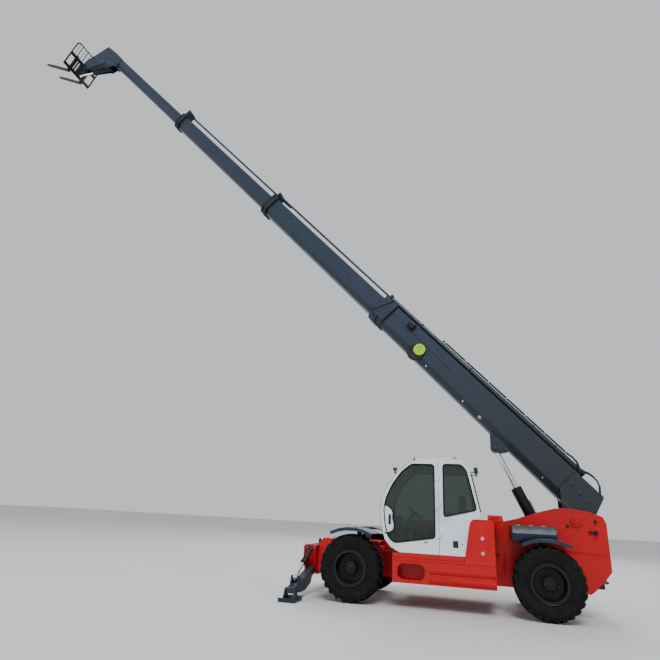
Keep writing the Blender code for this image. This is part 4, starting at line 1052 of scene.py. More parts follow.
@dataclass
class FenderTrim:
    """Rolled edges, a deep hem on the outer edge and bolts on one mudguard."""

    end: str
    side: str
    rise: float = 0.085
    thickness: float = 0.012
    lip: float = 0.046

    def build(self) -> None:
        """Make the mudguard's trim."""
        low, high = machine_box("fender_%s_%s" % (self.end, self.side))
        centre = (low.x + high.x) / 2
        half = (high.x - low.x) / 2
        top = high.z - self.thickness
        base = top - self.rise
        crown = [(-half, base), (-half * 0.6, base + self.rise * 0.7), (-half * 0.25, top),
                 (half * 0.25, top), (half * 0.6, base + self.rise * 0.7), (half, base)]
        sign = SIDES[self.side]
        outer = sign * max(abs(low.y), abs(high.y))
        inner = outer - sign * 0.76
        pen = Pen("fender_edges_%s_%s" % (self.end, self.side))
        for y in (outer, inner):
            pen.pipe([(centre + x, y, z + self.thickness / 2) for x, z in crown], 0.009)
        hem = [outer - sign * 0.014, outer + sign * 0.004]
        pen.grid([[Vector((centre + x, y, z + up)) for y, up in
                   ((hem[0], 0.004), (hem[0], -self.lip), (hem[1], -self.lip), (hem[1], 0.012))]
                  for x, z in crown])
        for x, z in (crown[0], crown[-1]):
            pen.pipe([(centre + x, inner, z + 0.006), (centre + x, outer, z + 0.006)], 0.009)
        for x in (-0.07, 0.07):
            for share in (0.25, 0.75):
                y = inner + (outer - inner) * share
                pen.bolt((centre + x, y, top + self.thickness), UP, 0.010, 0.008)
        pen.piece(SLATE)


@dataclass
class SkirtTrim:
    """Pressed ribs, step opening and bolted rail along the cab side's skirt."""

    ribs: tuple[float, ...] = (0.668, 0.520)
    rib_proud: float = 0.027
    sill_bolts: tuple[float, ...] = (-0.824, -0.313, 0.218)
    step: Outline = ((-0.84, 0.54), (-0.76, 0.47), (-0.42, 0.47), (-0.34, 0.54),
                                             (-0.34, 0.68), (-0.42, 0.75), (-0.76, 0.75), (-0.84, 0.68))

    def ribs_and_rail(self) -> None:
        """Folded ribs on the outer face, a lip round the step and a bolted sill under the cab."""
        low, high = machine_box("side_skirt")
        face = low.y
        pen = Pen("skirt_pressings")
        for z in self.ribs:
            pen.slab([(face + 0.002, z + 0.026), (face - self.rib_proud, z),
                      (face - self.rib_proud, z - 0.016), (face - 0.004, z - 0.070),
                      (face + 0.002, z - 0.074)], -0.27, high.x - 0.002, "x")
        pen.loop(rounded(self.step, 0.03), face, 0.009)
        pen.pipe([(low.x + 0.01, face + 0.003, low.z + 0.008),
                  (high.x - 0.01, face + 0.003, low.z + 0.008)], 0.012, 10)
        pen.block((low.x, face - 0.010, high.z - 0.032), (high.x, face + 0.010, high.z + 0.004), 0.005)
        pen.block((low.x, -1.186, high.z), (0.355, -1.160, 0.914), 0.004)
        for x in self.sill_bolts:
            pen.bolt((x, -1.186, 0.878), (0.0, -1.0, 0.0), 0.010, 0.008)
        pen.piece(RED)

    def well(self) -> None:
        """The box behind the step opening, with a grip tread and a hook."""
        face = machine_box("side_skirt")[0].y
        pen = Pen("step_well")
        back = face + 0.215
        pen.block((-0.86, back, 0.452), (-0.32, back + 0.006, 0.762), 0.0)
        pen.block((-0.86, face + 0.010, 0.456), (-0.32, back, 0.462), 0.0)
        pen.block((-0.86, face + 0.010, 0.754), (-0.32, back, 0.760), 0.0)
        for x in (-0.866, -0.326):
            pen.block((x, face + 0.010, 0.456), (x + 0.006, back, 0.760), 0.0)
        for k in range(9):
            x = -0.80 + 0.055 * k
            pen.block((x, face + 0.02, 0.461), (x + 0.012, back - 0.02, 0.470), 0.002)
        pen.bolt((-0.59, face + 0.10, 0.70), (0.0, -1.0, 0.0), 0.012, 0.012)
        pen.block((-0.605, face + 0.10, 0.69), (-0.575, back, 0.76), 0.004)
        pen.piece(RED)

    def build(self) -> None:
        """Make the skirt's trim."""
        self.ribs_and_rail()
        self.well()


@dataclass
class TankTrim:
    """Filler caps, handle box and seams on the panel behind the cab."""

    caps: Outline = ((0.668, 1.233), (0.664, 0.990))
    cap_radius: float = 0.026
    door_proud: float = 0.008

    def build(self) -> None:
        """Make the panel's trim."""
        low, high = machine_box("rear_side_box")
        low.y -= self.door_proud
        caps = Pen("filler_caps")
        for x, z in self.caps:
            radius = self.cap_radius
            caps.turned((x, low.y, z), (0.0, -1.0, 0.0),
                        [(radius + 0.006, -0.005), (radius + 0.006, 0.004), (radius, 0.006),
                         (radius, 0.022), (radius - 0.006, 0.027)], 36)
            for a, b in circle(12, radius, (x, z)):
                caps.bar((a, low.y - 0.008, b), (a, low.y - 0.021, b), 0.003, 6)
        caps.piece(ZINC)
        red = Pen("tank_seams")
        outline = rounded([(0.352, 0.832), (0.870, 0.832), (0.870, 1.545), (0.520, 1.545),
                           (0.468, 1.490)], 0.035)
        red.slab(outline, low.y, -1.1755)
        red.loop(outline, low.y, 0.006)
        red.block((0.77, -1.12, high.z), (1.03, -0.62, high.z + 0.11), 0.018)
        red.block((0.79, -1.00, high.z - 0.14), (0.84, -0.74, high.z + 0.01))
        red.piece(RED)
        grip = Pen("box_handle")
        grip.pipe([(0.85, -1.118, high.z + 0.05), (0.85, -1.150, high.z + 0.055),
                   (0.95, -1.150, high.z + 0.055), (0.95, -1.118, high.z + 0.05)], 0.007)
        grip.piece(BLACK)


@dataclass
class Toolbox:
    """Five-sided toolbox with a ridge along its outer face, in place of the plain solid."""

    top: float = 1.490
    ridge: float = 1.362
    foot: float = 1.236
    shoulder: float = 0.075
    rim: float = 0.007

    def build(self) -> None:
        """Make the toolbox, its end rims, hinges and catch."""
        low, high = machine_box("toolbox")
        profile = [(low.y + self.shoulder, self.top), (low.y, self.ridge),
                   (low.y + self.shoulder * 0.8, self.foot), (high.y, self.foot), (high.y, self.top)]
        pen = Pen("toolbox_shell")
        outline = rounded(profile, 0.008, 3)
        pen.slab(outline, low.x - 0.008, high.x, "x")
        for x in (low.x - 0.004, high.x - 0.004):
            pen.loop(outline, x, self.rim, "x")
        pen.pipe([(low.x, low.y + 0.002, self.ridge), (high.x, low.y + 0.002, self.ridge)], 0.004)
        shell = pen.piece(SLATE, sharp=12.0)
        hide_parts("toolbox")
        catch = Pen("toolbox_catches")
        catch.block((high.x - 0.002, low.y + 0.10, 1.40), (high.x + 0.014, low.y + 0.16, 1.45), 0.004)
        for x in (1.32, 1.54, 1.76):
            hinge = (-0.47, self.top + 0.004)
            catch.bar((x - 0.03, *hinge), (x + 0.03, *hinge), 0.008, 10)
        catch.piece(ZINC)


@dataclass
class EngineSide:
    """Louvres, seams, catches and exhaust on the engine's side."""

    slats: int = 11

    def louvres(self, pen: Pen, x_low: float, x_high: float, z_low: float, z_high: float,
                y: float) -> None:
        """A field of outward louvres on a face that looks to the right.

        Args:
            pen: Where it is drawn.
            x_low: Front edge of the field.
            x_high: Rear edge.
            z_low: Lower edge.
            z_high: Upper edge.
            y: The face.
        """
        pitch = (z_high - z_low) / self.slats
        for k in range(self.slats):
            z = z_low + pitch * k
            pen.slab([(y - 0.002, z), (y + 0.016, z + pitch * 0.12), (y + 0.014, z + pitch * 0.30),
                      (y - 0.002, z + pitch * 0.72)], x_low, x_high, "x")

    def build(self) -> None:
        """Make the engine side's pieces."""
        low, high = machine_box("engine_bay")
        side = Pen("bay_louvres")
        for x_low, x_high in ((-0.78, -0.34), (-0.28, 0.16), (0.22, 0.66)):
            self.louvres(side, x_low, x_high, 0.62, 1.12, high.y)
            side.loop(rounded([(x_low - 0.02, 0.59), (x_high + 0.02, 0.59), (x_high + 0.02, 1.15),
                               (x_low - 0.02, 1.15)], 0.03), high.y, 0.005)
        side.pipe([(low.x + 0.02, high.y, 0.50), (high.x - 0.02, high.y, 0.50)], 0.010)
        side.piece(RED)
        lid_low, lid_high = machine_box("engine_hood")
        lid = Pen("hood_louvres")
        for x in (-0.70, -0.30, 0.10):
            for k in range(6):
                y = 0.62 + 0.075 * k
                lid.block((x, y, lid_high.z - 0.002), (x + 0.30, y + 0.030, lid_high.z + 0.012), 0.005)
        lid.loop(rounded([(lid_low.x + 0.05, 0.52), (lid_high.x - 0.05, 0.52), (lid_high.x - 0.05, 1.14),
                          (lid_low.x + 0.05, 1.14)], 0.05), lid_high.z, 0.006, "z")
        lid.piece(RED, "hood")
        catches = Pen("hood_catches")
        for x in (-0.66, 0.58):
            catches.block((x - 0.022, lid_high.y - 0.001, 1.33), (x + 0.022, lid_high.y + 0.014, 1.42),
                          0.005)
        catches.pipe([(-0.09, lid_high.y - 0.002, 1.42), (-0.09, lid_high.y + 0.035, 1.425),
                      (0.03, lid_high.y + 0.035, 1.425), (0.03, lid_high.y - 0.002, 1.42)], 0.008)
        catches.piece(BLACK, "hood")
        stack = Pen("exhaust_stack")
        stack.pipe([(0.86, 0.62, 1.10), (0.915, 0.62, 1.16), (0.920, 0.62, 1.26), (0.920, 0.62, 1.52),
                    (0.920, 0.66, 1.585), (0.920, 0.73, 1.61)], 0.034, 20)
        stack.lathe((0.920, 0.62, 1.26), UP,
                    [(0.034, 0.0), (0.043, 0.004), (0.043, 0.19), (0.034, 0.194)], 24)
        stack.piece(IRON)


# ---------------------------------------------------------------- cab

@dataclass
class CabTrim:
    """Window seals, handle, hinges, grille, lamps and wiper of the cab."""

    outer: float = -1.170
    inner: float = -0.330
    wall: float = 0.040
    door_window: Outline = (
        (-0.90, 1.08), (-0.16, 1.20), (-0.16, 2.49), (-0.58, 2.49), (-0.77, 2.34), (-0.94, 2.11),
        (-1.06, 1.86), (-1.10, 1.66), (-1.07, 1.37), (-1.01, 1.17))
    quarter_window: Outline = ((0.01, 1.57), (0.59, 1.71), (0.43, 2.40), (0.34, 2.50), (0.01, 2.50))
    right_window: Outline = (
        (-0.98, 1.30), (0.34, 1.30), (0.54, 1.66), (0.40, 2.38), (-0.62, 2.38), (-0.92, 2.05),
        (-1.04, 1.70))
    handle_plate: Outline = (
        (-1.125, 1.725), (-0.985, 1.690), (-0.925, 1.620), (-0.935, 1.500), (-0.900, 1.400),
        (-0.915, 1.290), (-1.000, 1.245), (-1.082, 1.230), (-1.112, 1.380), (-1.138, 1.620))
    front_path: Outline = (
        (-1.08, 1.135), (-1.14, 1.34), (-1.17, 1.66), (-1.13, 1.87), (-1.01, 2.12), (-0.82, 2.37),
        (-0.64, 2.52))
    seal: float = 0.017

    def frame_seal(self, name: str, outline: Outline, face: float, body: str) -> None:
        """A rubber profile round a window, on both faces of its pane.

        Args:
            name: The piece's name.
            outline: The window's corners, as (x, z).
            face: The wall's outer face.
            body: What the window moves with.
        """
        pen = Pen(name)
        ring = rounded(outline, 0.06)
        inward = self.wall if face < (self.outer + self.inner) / 2 else -self.wall
        for y in (face, face + inward):
            pen.loop(ring, y, self.seal, flat=0.55)
        pen.loop(ring, face + inward / 2, 0.012)
        pen.piece(SEAL, body, 60.0)

    def screens(self) -> None:
        """Rubber along the windscreen's and the rear pane's four edges."""
        pen = Pen("screen_seals")
        left, right = self.outer + self.wall + 0.012, self.inner - self.wall - 0.022
        path = self.front_path
        for y in (left, right):
            pen.pipe([(x, y, z) for x, z in path], 0.016)
        for x, z in (path[0], path[-1]):
            pen.pipe([(x, left, z), (x, right, z)], 0.016)
        rear = [(0.636, 1.70), (0.499, 2.34)]
        for y in (left + 0.048, right - 0.038):
            pen.pipe([(x + 0.012, y, z) for x, z in rear], 0.015)
        for x, z in rear:
            pen.pipe([(x + 0.012, left + 0.048, z), (x + 0.012, right - 0.038, z)], 0.015)
        pen.piece(SEAL, sharp=60.0)

    def door(self) -> None:
        """Handle in a white plate that bulges into the window, lock, and the inner door trim."""
        face = self.outer
        bulge = rounded(self.handle_plate, 0.035)
        plate = Pen("door_handle_plate")
        plate.slab(bulge, face - 0.0045, face + self.wall + 0.002)
        plate.piece(WHITE, "door")
        edge = Pen("handle_plate_seal")
        inner = [(x, z) for x, z in bulge if x > -1.085]
        edge.pipe([(x, face - 0.003, z) for x, z in inner], self.seal * 0.8, flat=0.6)
        edge.piece(SEAL, "door", 60.0)
        pen = Pen("door_handle")
        pen.block((-1.014, face - 0.0075, 1.385), (-0.964, face + 0.004, 1.568), 0.018)
        pen.pipe([(-0.990, face - 0.006, 1.41), (-0.990, face - 0.030, 1.43),
                  (-0.990, face - 0.030, 1.52), (-0.990, face - 0.006, 1.545)], 0.009, 10)
        pen.block((-0.352, face - 0.008, 1.108), (-0.298, face + 0.004, 1.126), 0.004)
        pen.piece(PLASTIC, "door")
        lining = Pen("door_lining")
        inside = self.outer + self.wall
        lining.slab(rounded([(-0.80, 0.97), (-0.14, 0.97), (-0.14, 1.17), (-0.88, 1.05)], 0.03),
                    inside, inside + 0.012)
        lining.pipe([(-0.62, inside + 0.006, 1.02), (-0.62, inside + 0.030, 1.03),
                     (-0.30, inside + 0.030, 1.03), (-0.30, inside + 0.006, 1.02)], 0.009, 10)
        lining.piece(TRIM, "door")
        for body, x, shift in (("door", -0.118, -0.05), ("chassis", -0.050, 0.0)):
            leaf = Pen("hinge_bolts_" + body)
            for z in (1.25, 1.75, 2.25):
                for up in (0.012, 0.036):
                    leaf.bolt((x, face - 0.0215, z + shift + up), (0.0, -1.0, 0.0), 0.0055, 0.005)
            leaf.piece(WHITE, body)

    def shell(self) -> None:
        """Grille, gutters and small fittings outside the shell."""
        face = self.outer
        dark = Pen("cab_grille")
        dark.block((0.155, face - 0.006, 1.055), (0.250, face + 0.004, 1.170), 0.014)
        for k in range(5):
            z = 1.070 + 0.0185 * k
            dark.block((0.166, face - 0.012, z), (0.239, face - 0.004, z + 0.009), 0.002)
        dark.bar((0.320, face - 0.009, 1.121), (0.320, face + 0.004, 1.121), 0.011, 16)
        dark.block((-0.555, face + 0.03, 2.555), (-0.505, face + 0.08, 2.590), 0.008)
        dark.bar((-0.530, face + 0.055, 2.585), (-0.530, face + 0.055, 2.630), 0.009, 12)
        dark.piece(PLASTIC)
        rail = Pen("cab_gutter")
        for y in (self.outer + 0.004, self.inner - 0.004):
            rail.pipe([(-0.50, y, 2.572), (-0.10, y, 2.592), (0.14, y, 2.602), (0.37, y, 2.572),
                       (0.47, y, 2.46)], 0.010)
        rail.piece(WHITE)

    def lamp(self, shell: Pen, lens: Pen, at: Point, forward: float, half: float) -> None:
        """A square work lamp on a short bracket.

        Args:
            shell: Pen of the lamp housings.
            lens: Pen of the lenses.
            at: Middle of the housing.
            forward: -1 to look ahead, 1 to look back.
            half: Half its width.
        """
        x, y, z = at
        tall = half * 0.8
        shell.block((x - 0.035, y - half, z - tall), (x + 0.035, y + half, z + tall), 0.012)
        shell.block((x - 0.012, y - 0.012, z - half - 0.05),
                    (x + 0.012, y + 0.012, z - half * 0.6), 0.003)
        face = x + forward * 0.034
        lens.block((face, y - half + 0.010, z - tall + 0.010),
                   (face + forward * 0.010, y + half - 0.010, z + tall - 0.010))

    def lamps(self) -> None:
        """Work lamps in front and behind, and the beacon on the roof."""
        shell = Pen("work_lamps")
        lens = Pen("work_lamp_lenses")
        for y in (self.outer + 0.10, self.inner - 0.10):
            self.lamp(shell, lens, (-0.91, y, 2.40), -1.0, 0.036)
            shell.pipe([(-0.91, y, 2.36), (-0.89, y, 2.34), (-0.85, y, 2.33)], 0.008)
            self.lamp(shell, lens, (0.60, y, 2.435), 1.0, 0.040)
            shell.pipe([(0.60, y, 2.395), (0.55, y, 2.375), (0.50, y, 2.37)], 0.009)
        shell.piece(PLASTIC)
        lens.piece(CLEAR)
        base = Pen("beacon_base")
        beacon = (0.22, self.outer + 0.16)
        base.turned((*beacon, 2.590), UP, [(0.055, 0.0), (0.050, 0.028)], 28)
        base.piece(PLASTIC)
        dome = Pen("beacon_dome")
        dome.lathe((*beacon, 2.618), UP,
                   [(0.0, 0.0), (0.036, 0.0), (0.035, 0.022), (0.028, 0.034), (0.015, 0.040),
                    (0.0, 0.041)], 28)
        dome.piece(AMBER)

    def wiper(self) -> None:
        """Motor boss, arm and blade on the windscreen."""
        pen = Pen("screen_wiper")
        y = (self.outer + self.inner) / 2
        pen.bar((-1.085, y, 1.175), (-1.125, y, 1.165), 0.022, 16)
        pen.pipe([(-1.122, y, 1.168), (-1.165, y - 0.06, 1.38), (-1.195, y - 0.13, 1.62)], 0.007)
        pen.pipe([(-1.176, y - 0.14, 1.40), (-1.191, y - 0.135, 1.62), (-1.176, y - 0.13, 1.78),
                  (-1.158, y - 0.125, 1.86)], 0.009)
        pen.piece(PLASTIC)

    def build(self) -> None:
        """Make all the cab's trim."""
        self.frame_seal("door_seal", self.door_window, self.outer, "door")
        self.frame_seal("quarter_seal", self.quarter_window, self.outer, "chassis")
        self.frame_seal("right_window_seal", self.right_window, self.inner, "chassis")
        self.screens()
        self.door()
        self.shell()
        self.lamps()
        self.wiper()


@dataclass
class Cushion:
    """A crowned foam pad with sewn channels and piping."""

    name: str
    low: Point
    high: Point
    up: int
    crown: float
    channels: int
    cuts: int = 26

    def shape(self, point: Vector) -> Vector:
        """Turn a point of a cube from -1 to 1 into a point of the pad.

        Args:
            point: The cube's point.

        Returns:
            The pad's point, in the machine frame.
        """
        power = 7.0
        length = sum(abs(value) ** power for value in point) ** (1.0 / power)
        soft = point * (max(abs(value) for value in point) / max(length, 0.001))
        flat = [k for k in range(3) if k != self.up]
        first, second = point[flat[0]], point[flat[1]]
        swell = (1.0 - first ** 2) * (1.0 - second ** 2)
        groove = 0.0
        for k in range(self.channels):
            line = -0.6 + 1.2 * (k + 0.5) / self.channels
            groove += 2.718 ** (-((second - line) / 0.045) ** 2)
        groove *= max(0.0, 1.0 - first ** 4)
        lowest, highest = Vector(self.low), Vector(self.high)
        half = (highest - lowest) / 2
        placed = (lowest + highest) / 2 + Vector([soft[k] * half[k] for k in range(3)])
        outward = 1.0 if soft[self.up] > 0 else 0.25
        placed[self.up] += (self.crown * swell - 0.007 * groove) * soft[self.up] * outward
        for k, other in ((flat[0], second), (flat[1], first)):
            placed[k] -= soft[k] * 0.010 * (1.0 - other ** 2)
        return placed

    def build(self) -> bpy.types.Object:
        """Make the pad and its piping as one piece."""
        pen = Pen(self.name)
        made = bmesh.new()
        bmesh.ops.create_cube(made, size=2.0)
        bmesh.ops.subdivide_edges(made, edges=made.edges[:], cuts=self.cuts, use_grid_fill=True)
        for vertex in made.verts:
            vertex.co = self.shape(vertex.co)
        pen.absorb(made)
        flat = [k for k in range(3) if k != self.up]
        rim = []
        steps = 18
        for first, second in ((1, 0), (0, 1), (-1, 0), (0, -1)):
            for k in range(steps):
                run = -1.0 + 2.0 * k / steps
                point = Vector((0.0, 0.0, 0.0))
                point[flat[0]] = first if first else (-run if second > 0 else run)
                point[flat[1]] = second if second else (run if first > 0 else -run)
                point[self.up] = 0.72
                rim.append(self.shape(point))
        pen.pipe(rim, 0.0045, closed=True)
        pad = pen.piece(CLOTH, sharp=60.0)
        return pad


@dataclass
class CabInterior:
    """Seat, steering column, dashboard, joystick, floor mat and headlining."""

    seat_y: float = -0.750

    def seat(self) -> None:
        """Cushion, backrest, bellows base and armrest."""
        y = self.seat_y
        pad = Cushion("seat_cushion", (-0.13, y - 0.235, 1.315), (0.33, y + 0.235, 1.425), 2, 0.022,
                      4).build()
        back = Cushion("seat_backrest", (0.262, y - 0.225, 1.43), (0.375, y + 0.225, 1.98), 0, 0.018,
                       5).build()
        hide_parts("seat")
        base = Pen("seat_base")
        base.block((-0.06, y - 0.18, 0.965), (0.28, y + 0.18, 1.02), 0.012)
        rows = []
        for k in range(13):
            grow = 0.0 if k % 2 else 0.014
            z = 1.02 + 0.0205 * k
            outline = rounded([(-0.04 - grow, y - 0.16 - grow), (0.26 + grow, y - 0.16 - grow),
                               (0.26 + grow, y + 0.16 + grow), (-0.04 - grow, y + 0.16 + grow)], 0.03)
            rows.append([Vector((a, b, z)) for a, b in outline])
        base.grid(rows)
        base.block((-0.12, y - 0.21, 1.265), (0.34, y + 0.21, 1.318), 0.012)
        base.block((0.355, y - 0.19, 1.34), (0.392, y + 0.19, 1.95), 0.012)
        base.block((0.02, y + 0.245, 1.50), (0.30, y + 0.305, 1.55), 0.018)
        base.piece(PLASTIC)
        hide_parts("seat")

    def controls(self) -> None:
        """Dashboard pod, column, wheel, pedals and joystick."""
        y = self.seat_y
        dash = Pen("dashboard")
        dash.slab(rounded([(-0.97, 1.10), (-0.80, 1.08), (-0.74, 1.34), (-0.78, 1.45), (-0.93, 1.47),
                           (-0.99, 1.40)], 0.03), y - 0.19, y + 0.22)
        dash.slab(rounded([(-0.80, 0.965), (-0.68, 0.965), (-0.72, 1.36), (-0.82, 1.36)], 0.02),
                  y - 0.06, y + 0.06)
        dash.block((-0.35, y + 0.27, 0.965), (0.20, y + 0.36, 1.33), 0.02)
        for x, pedal in ((-0.74, y - 0.17), (-0.70, y - 0.05)):
            dash.block((x, pedal, 0.99), (x + 0.05, pedal + 0.08, 1.005))
        dash.piece(TRIM)
        made = Pen("steering_wheel")
        hub, tilt = Vector((-0.575, y, 1.625)), radians(38.0)
        axis = Vector((sin(tilt), 0.0, cos(tilt)))
        flat = Vector((cos(tilt), 0.0, -sin(tilt)))
        ring = [hub + flat * a + SIDEWAYS * b for a, b in circle(48, 0.185)]
        made.pipe(ring, 0.014, 12, closed=True)
        for a, b in circle(3, 0.182, phase=1.5):
            rim = hub + flat * a + SIDEWAYS * b
            made.pipe([hub - axis * 0.03, (hub + rim) / 2 - axis * 0.02, rim], 0.012)
        made.bar(hub - axis * 0.045, hub - axis * 0.004, 0.040, 24)
        made.bar(hub - axis * 0.30, hub - axis * 0.04, 0.028, 20)
        knob = hub + flat * 0.13 + SIDEWAYS * 0.13
        made.bar(knob, knob + axis * 0.045, 0.020, 16, 0.006)
        wheel = made.piece(PLASTIC, sharp=50.0)
        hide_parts("console")
        stick = Pen("joystick")
        stick.lathe((0.06, y + 0.275, 1.55), (-0.15, 0.0, 1.0),
                    [(0.0, 0.0), (0.034, 0.0), (0.030, 0.012), (0.022, 0.022), (0.012, 0.040),
                     (0.011, 0.062), (0.020, 0.080), (0.023, 0.115), (0.018, 0.140), (0.0, 0.146)], 24)
        stick.piece(PLASTIC)
        screen = Pen("gauge_pod")
        screen.slab(rounded([(-0.955, 1.462), (-0.82, 1.452), (-0.80, 1.53), (-0.93, 1.555)], 0.02),
                    y - 0.12, y + 0.12)
        screen.piece(PLASTIC)

    def linings(self) -> None:
        """Floor mat, headlining and the lining of the right-hand wall."""
        mat = Pen("floor_mat")
        mat.block((-0.72, -1.105, 0.9605), (0.36, -0.385, 0.9690), 0.002)
        for k in range(17):
            x = -0.68 + 0.06 * k
            mat.block((x, -1.08, 0.968), (x + 0.02, -0.95, 0.9725), 0.001)
        mat.piece(SEAL)
        lining = Pen("cab_linings")
        lining.slab([(-0.42, 2.522), (0.10, 2.548), (0.10, 2.556), (-0.42, 2.530)], -1.09, -0.41)
        lining.block((-0.66, -0.384, 0.98), (0.36, -0.372, 1.27), 0.004)
        lining.block((0.40, -1.08, 1.00), (0.43, -0.42, 1.20), 0.008)
        lining.piece(TRIM)

    def build(self) -> None:
        """Make the interior."""
        self.seat()
        self.controls()
        self.linings()


# ---------------------------------------------------------------- boom

@dataclass
class BoomTrim:
    """Collar bands, painted shade under the outer section's head, wear-pad bolts, pipes, clamps, reel
    and bosses on the boom.
    """

    top: float = 0.72
    depth: float = 0.60
    half: float = 0.26
    step: float = 0.045
    chamfer: tuple[float, float] = (0.11, 0.13)
    heads: tuple[float, ...] = (5.98, 10.55, 15.47)
    collar: float = 0.19
    proud: float = 0.035
    clamps: tuple[float, ...] = (0.60, 1.15, 1.70, 3.40, 4.90)
    tube_y: float = -0.10
    tube_h: float = 0.80
    tube_radius: float = 0.055
    doubler_face: float = 0.279
    reel_place: tuple[float, float] = (4.464, 0.336)

    def section(self, number: int, grow: float) -> Outline:
        """A section's outer outline, grown outwards.

        Args:
            number: 0 for the outer section.
            grow: How far the outline is pushed out.

        Returns:
            (y, h) points.
        """
        top = self.top - number * self.step + grow
        low = self.top - self.depth + number * self.step - grow
        half = self.half - number * self.step + grow
        in_, up = self.chamfer
        return [(-half + in_, low), (half - in_, low), (half, low + up), (half, top - 0.02),
                (half - 0.02, top), (-half + 0.02, top), (-half, top - 0.02), (-half, low + up)]

    def collars(self) -> None:
        """Dark bands round each section's head, painted shade under the outer section's head, and the
        wear pads' bolts.
        """
        for number, head in enumerate(self.heads):
            body = "boom_%d" % (number + 1)
            bands = Pen("collar_bands_%d" % (number + 1), BOOM)
            if number == 0:
                self.leaning_collar(bands, head)
                rings = ((head - 0.395, head - 0.365, 0.006),)
            else:
                rings = ((head - self.collar - 0.004, head - self.collar + 0.050, 0.041),
                         (head - 0.065, head + 0.003, 0.041))
            for low, high, grow in rings:
                inner = self.section(number, -0.002)
                outer = self.section(number, grow)
                rows = [[Vector((s, y, h)) for y, h in loop] for s, loop in
                        ((low, inner), (low, outer), (high, outer), (high, inner))]
                bands.grid(rows, ring=True)
            half = self.half - number * self.step
            low = self.top - self.depth + number * self.step + self.chamfer[1]
            top = self.top - number * self.step
            bands.piece(DARK_BAND_AND_SHADE, body)
            bolts = Pen("pad_bolts_%d" % (number + 1), BOOM)
            for sign in SIGNS:
                for s in (head - 0.125, head - 0.085):
                    for share in (0.18, 0.5, 0.82):
                        h = low + (top - low) * share
                        bolts.bolt((s, sign * (half + self.proud), h), (0.0, sign, 0.0), 0.011, 0.010)
                for s in (head - 0.14, head - 0.09):
                    bolts.bolt((s, sign * half * 0.62, top + self.proud), UP, 0.011, 0.010)
            bolts.piece(SLATE, body)

    def leaning_collar(self, bands: Pen, head: float) -> None:
        """Cheek plates on the outer section's head, with a square and a leaning dark edge, and a dark
        sheet and block of painted shade under the head.

        Args:
            bands: Pen of the dark edges and of the painted shade.
            head: Where the section ends.
        """
        cheeks = Pen("collar_cheeks", BOOM)
        foot, crown = self.top - self.depth + self.chamfer[1] - 0.012, self.top + 0.030
        rear, tip, apex = head - 0.385, head + 0.002, head - 0.235
        for sign in SIGNS:
            y = sign * (self.half + self.proud + 0.002)
            cheeks.slab([(rear, foot), (rear, crown - 0.04), (rear + 0.03, crown), (apex, crown),
                         (tip, foot + 0.02), (tip, foot)], sign * (self.half - 0.002), y)
            for line in ([(rear, foot), (rear, crown - 0.02)], [(apex, crown), (tip, foot + 0.01)]):
                bands.pipe([(s, y, h) for s, h in line], 0.016, flat=0.7)
            # Dark sheet along the lower chamfer: painted shade where the chamfer lies in shade.
            bands.slab([(rear, foot - 0.125), (tip, foot - 0.125), (tip, foot), (rear, foot)],
                       sign * (self.half - 0.118), sign * (self.half - 0.114))
        low, flat = self.top - self.depth, self.half - 0.115
        # Dark block under the head's bottom face: painted shade.
        bands.block((rear, -flat, low - 0.030), (tip, flat, low + 0.004), 0.008)
        cheeks.piece(SLATE, "boom_1")

    def extension(self) -> None:
        """Clamps round the long cylinder, its ports, and the pipes over and beside it."""
        straps = Pen("cylinder_clamps", BOOM)
        y, h, top = self.tube_y, self.tube_h, self.top
        reach = self.tube_radius + 0.006
        for s in self.clamps:
            arch = [(s, y - reach, h - 0.05)]
            arch += [(s, y - a, h + b) for a, b in circle(24, reach)[:13]]
            arch += [(s, y + reach, h - 0.05)]
            straps.pipe(arch, 0.010)
            for side in SIGNS:
                straps.bolt((s, y + side * reach, top + 0.002), UP, 0.010)
        straps.lathe((0.50, y, h), (1.0, 0.0, 0.0), [(0.040, -0.07), (0.064, -0.06), (0.064, 0.03),
                                                     (0.055, 0.04)], 24)
        straps.piece(BLACK, "boom_1")
        pipes = Pen("boom_oil_pipes", BOOM)
        blocks = Pen("pipe_blocks", BOOM)
        for k, across in enumerate((0.045, 0.085, 0.125, 0.165)):
            line = ((0.06, 0.010), (0.20 + 0.05 * k, 0.030), (1.0, 0.030), (3.0, 0.030), (5.60, 0.030),
                    (5.70, 0.020))
            pipes.pipe([(s, across, top + rise) for s, rise in line], 0.011, 10)
        for s in (0.45, 1.15, 2.0, 2.9, 3.8, 4.7, 5.5):
            blocks.block((s - 0.025, 0.020, top - 0.002), (s + 0.025, 0.190, top + 0.046), 0.006)
        for k, across in enumerate((y, y + 0.05)):
            bend = [(0.50, across, h + 0.045), (0.42, across, h + 0.082), (0.32, across, h + 0.098),
                    (0.22, across, h + 0.088), (0.13, across, h + 0.045), (0.07, across, h - 0.020),
                    (0.03, across, top + 0.018), (-0.03, across, top + 0.014)]
            pipes.pipe([(s - 0.03 * k, a, b) for s, a, b in bend], 0.014, 10)
        over = h + 0.086
        pipes.pipe([(4.30, y, over), (2.60, y, over), (0.92, y, over),
                    (0.80, y - 0.05, h + 0.094), (0.68, y - 0.08, h + 0.075),
                    (0.57, y - 0.09, h + 0.010), (0.51, y - 0.09, h - 0.084)], 0.020, 12)
        pipes.piece(PIPE, "boom_1")
        blocks.piece(PLASTIC, "boom_1")
        ties = Pen("pipe_ties", BOOM)
        for s in (0.95, 1.45, 1.95, 2.45, 2.95, 3.60, 4.22):
            ties.lathe((s - 0.012, y, over), (1.0, 0.0, 0.0),
                       [(0.018, 0.0), (0.0235, 0.0), (0.0235, 0.024), (0.018, 0.024)], 14, True)
            ties.block((s - 0.010, y - 0.006, h + 0.050), (s + 0.010, y + 0.006, h + 0.070), 0.002)
        ties.piece(ZINC, "boom_1")

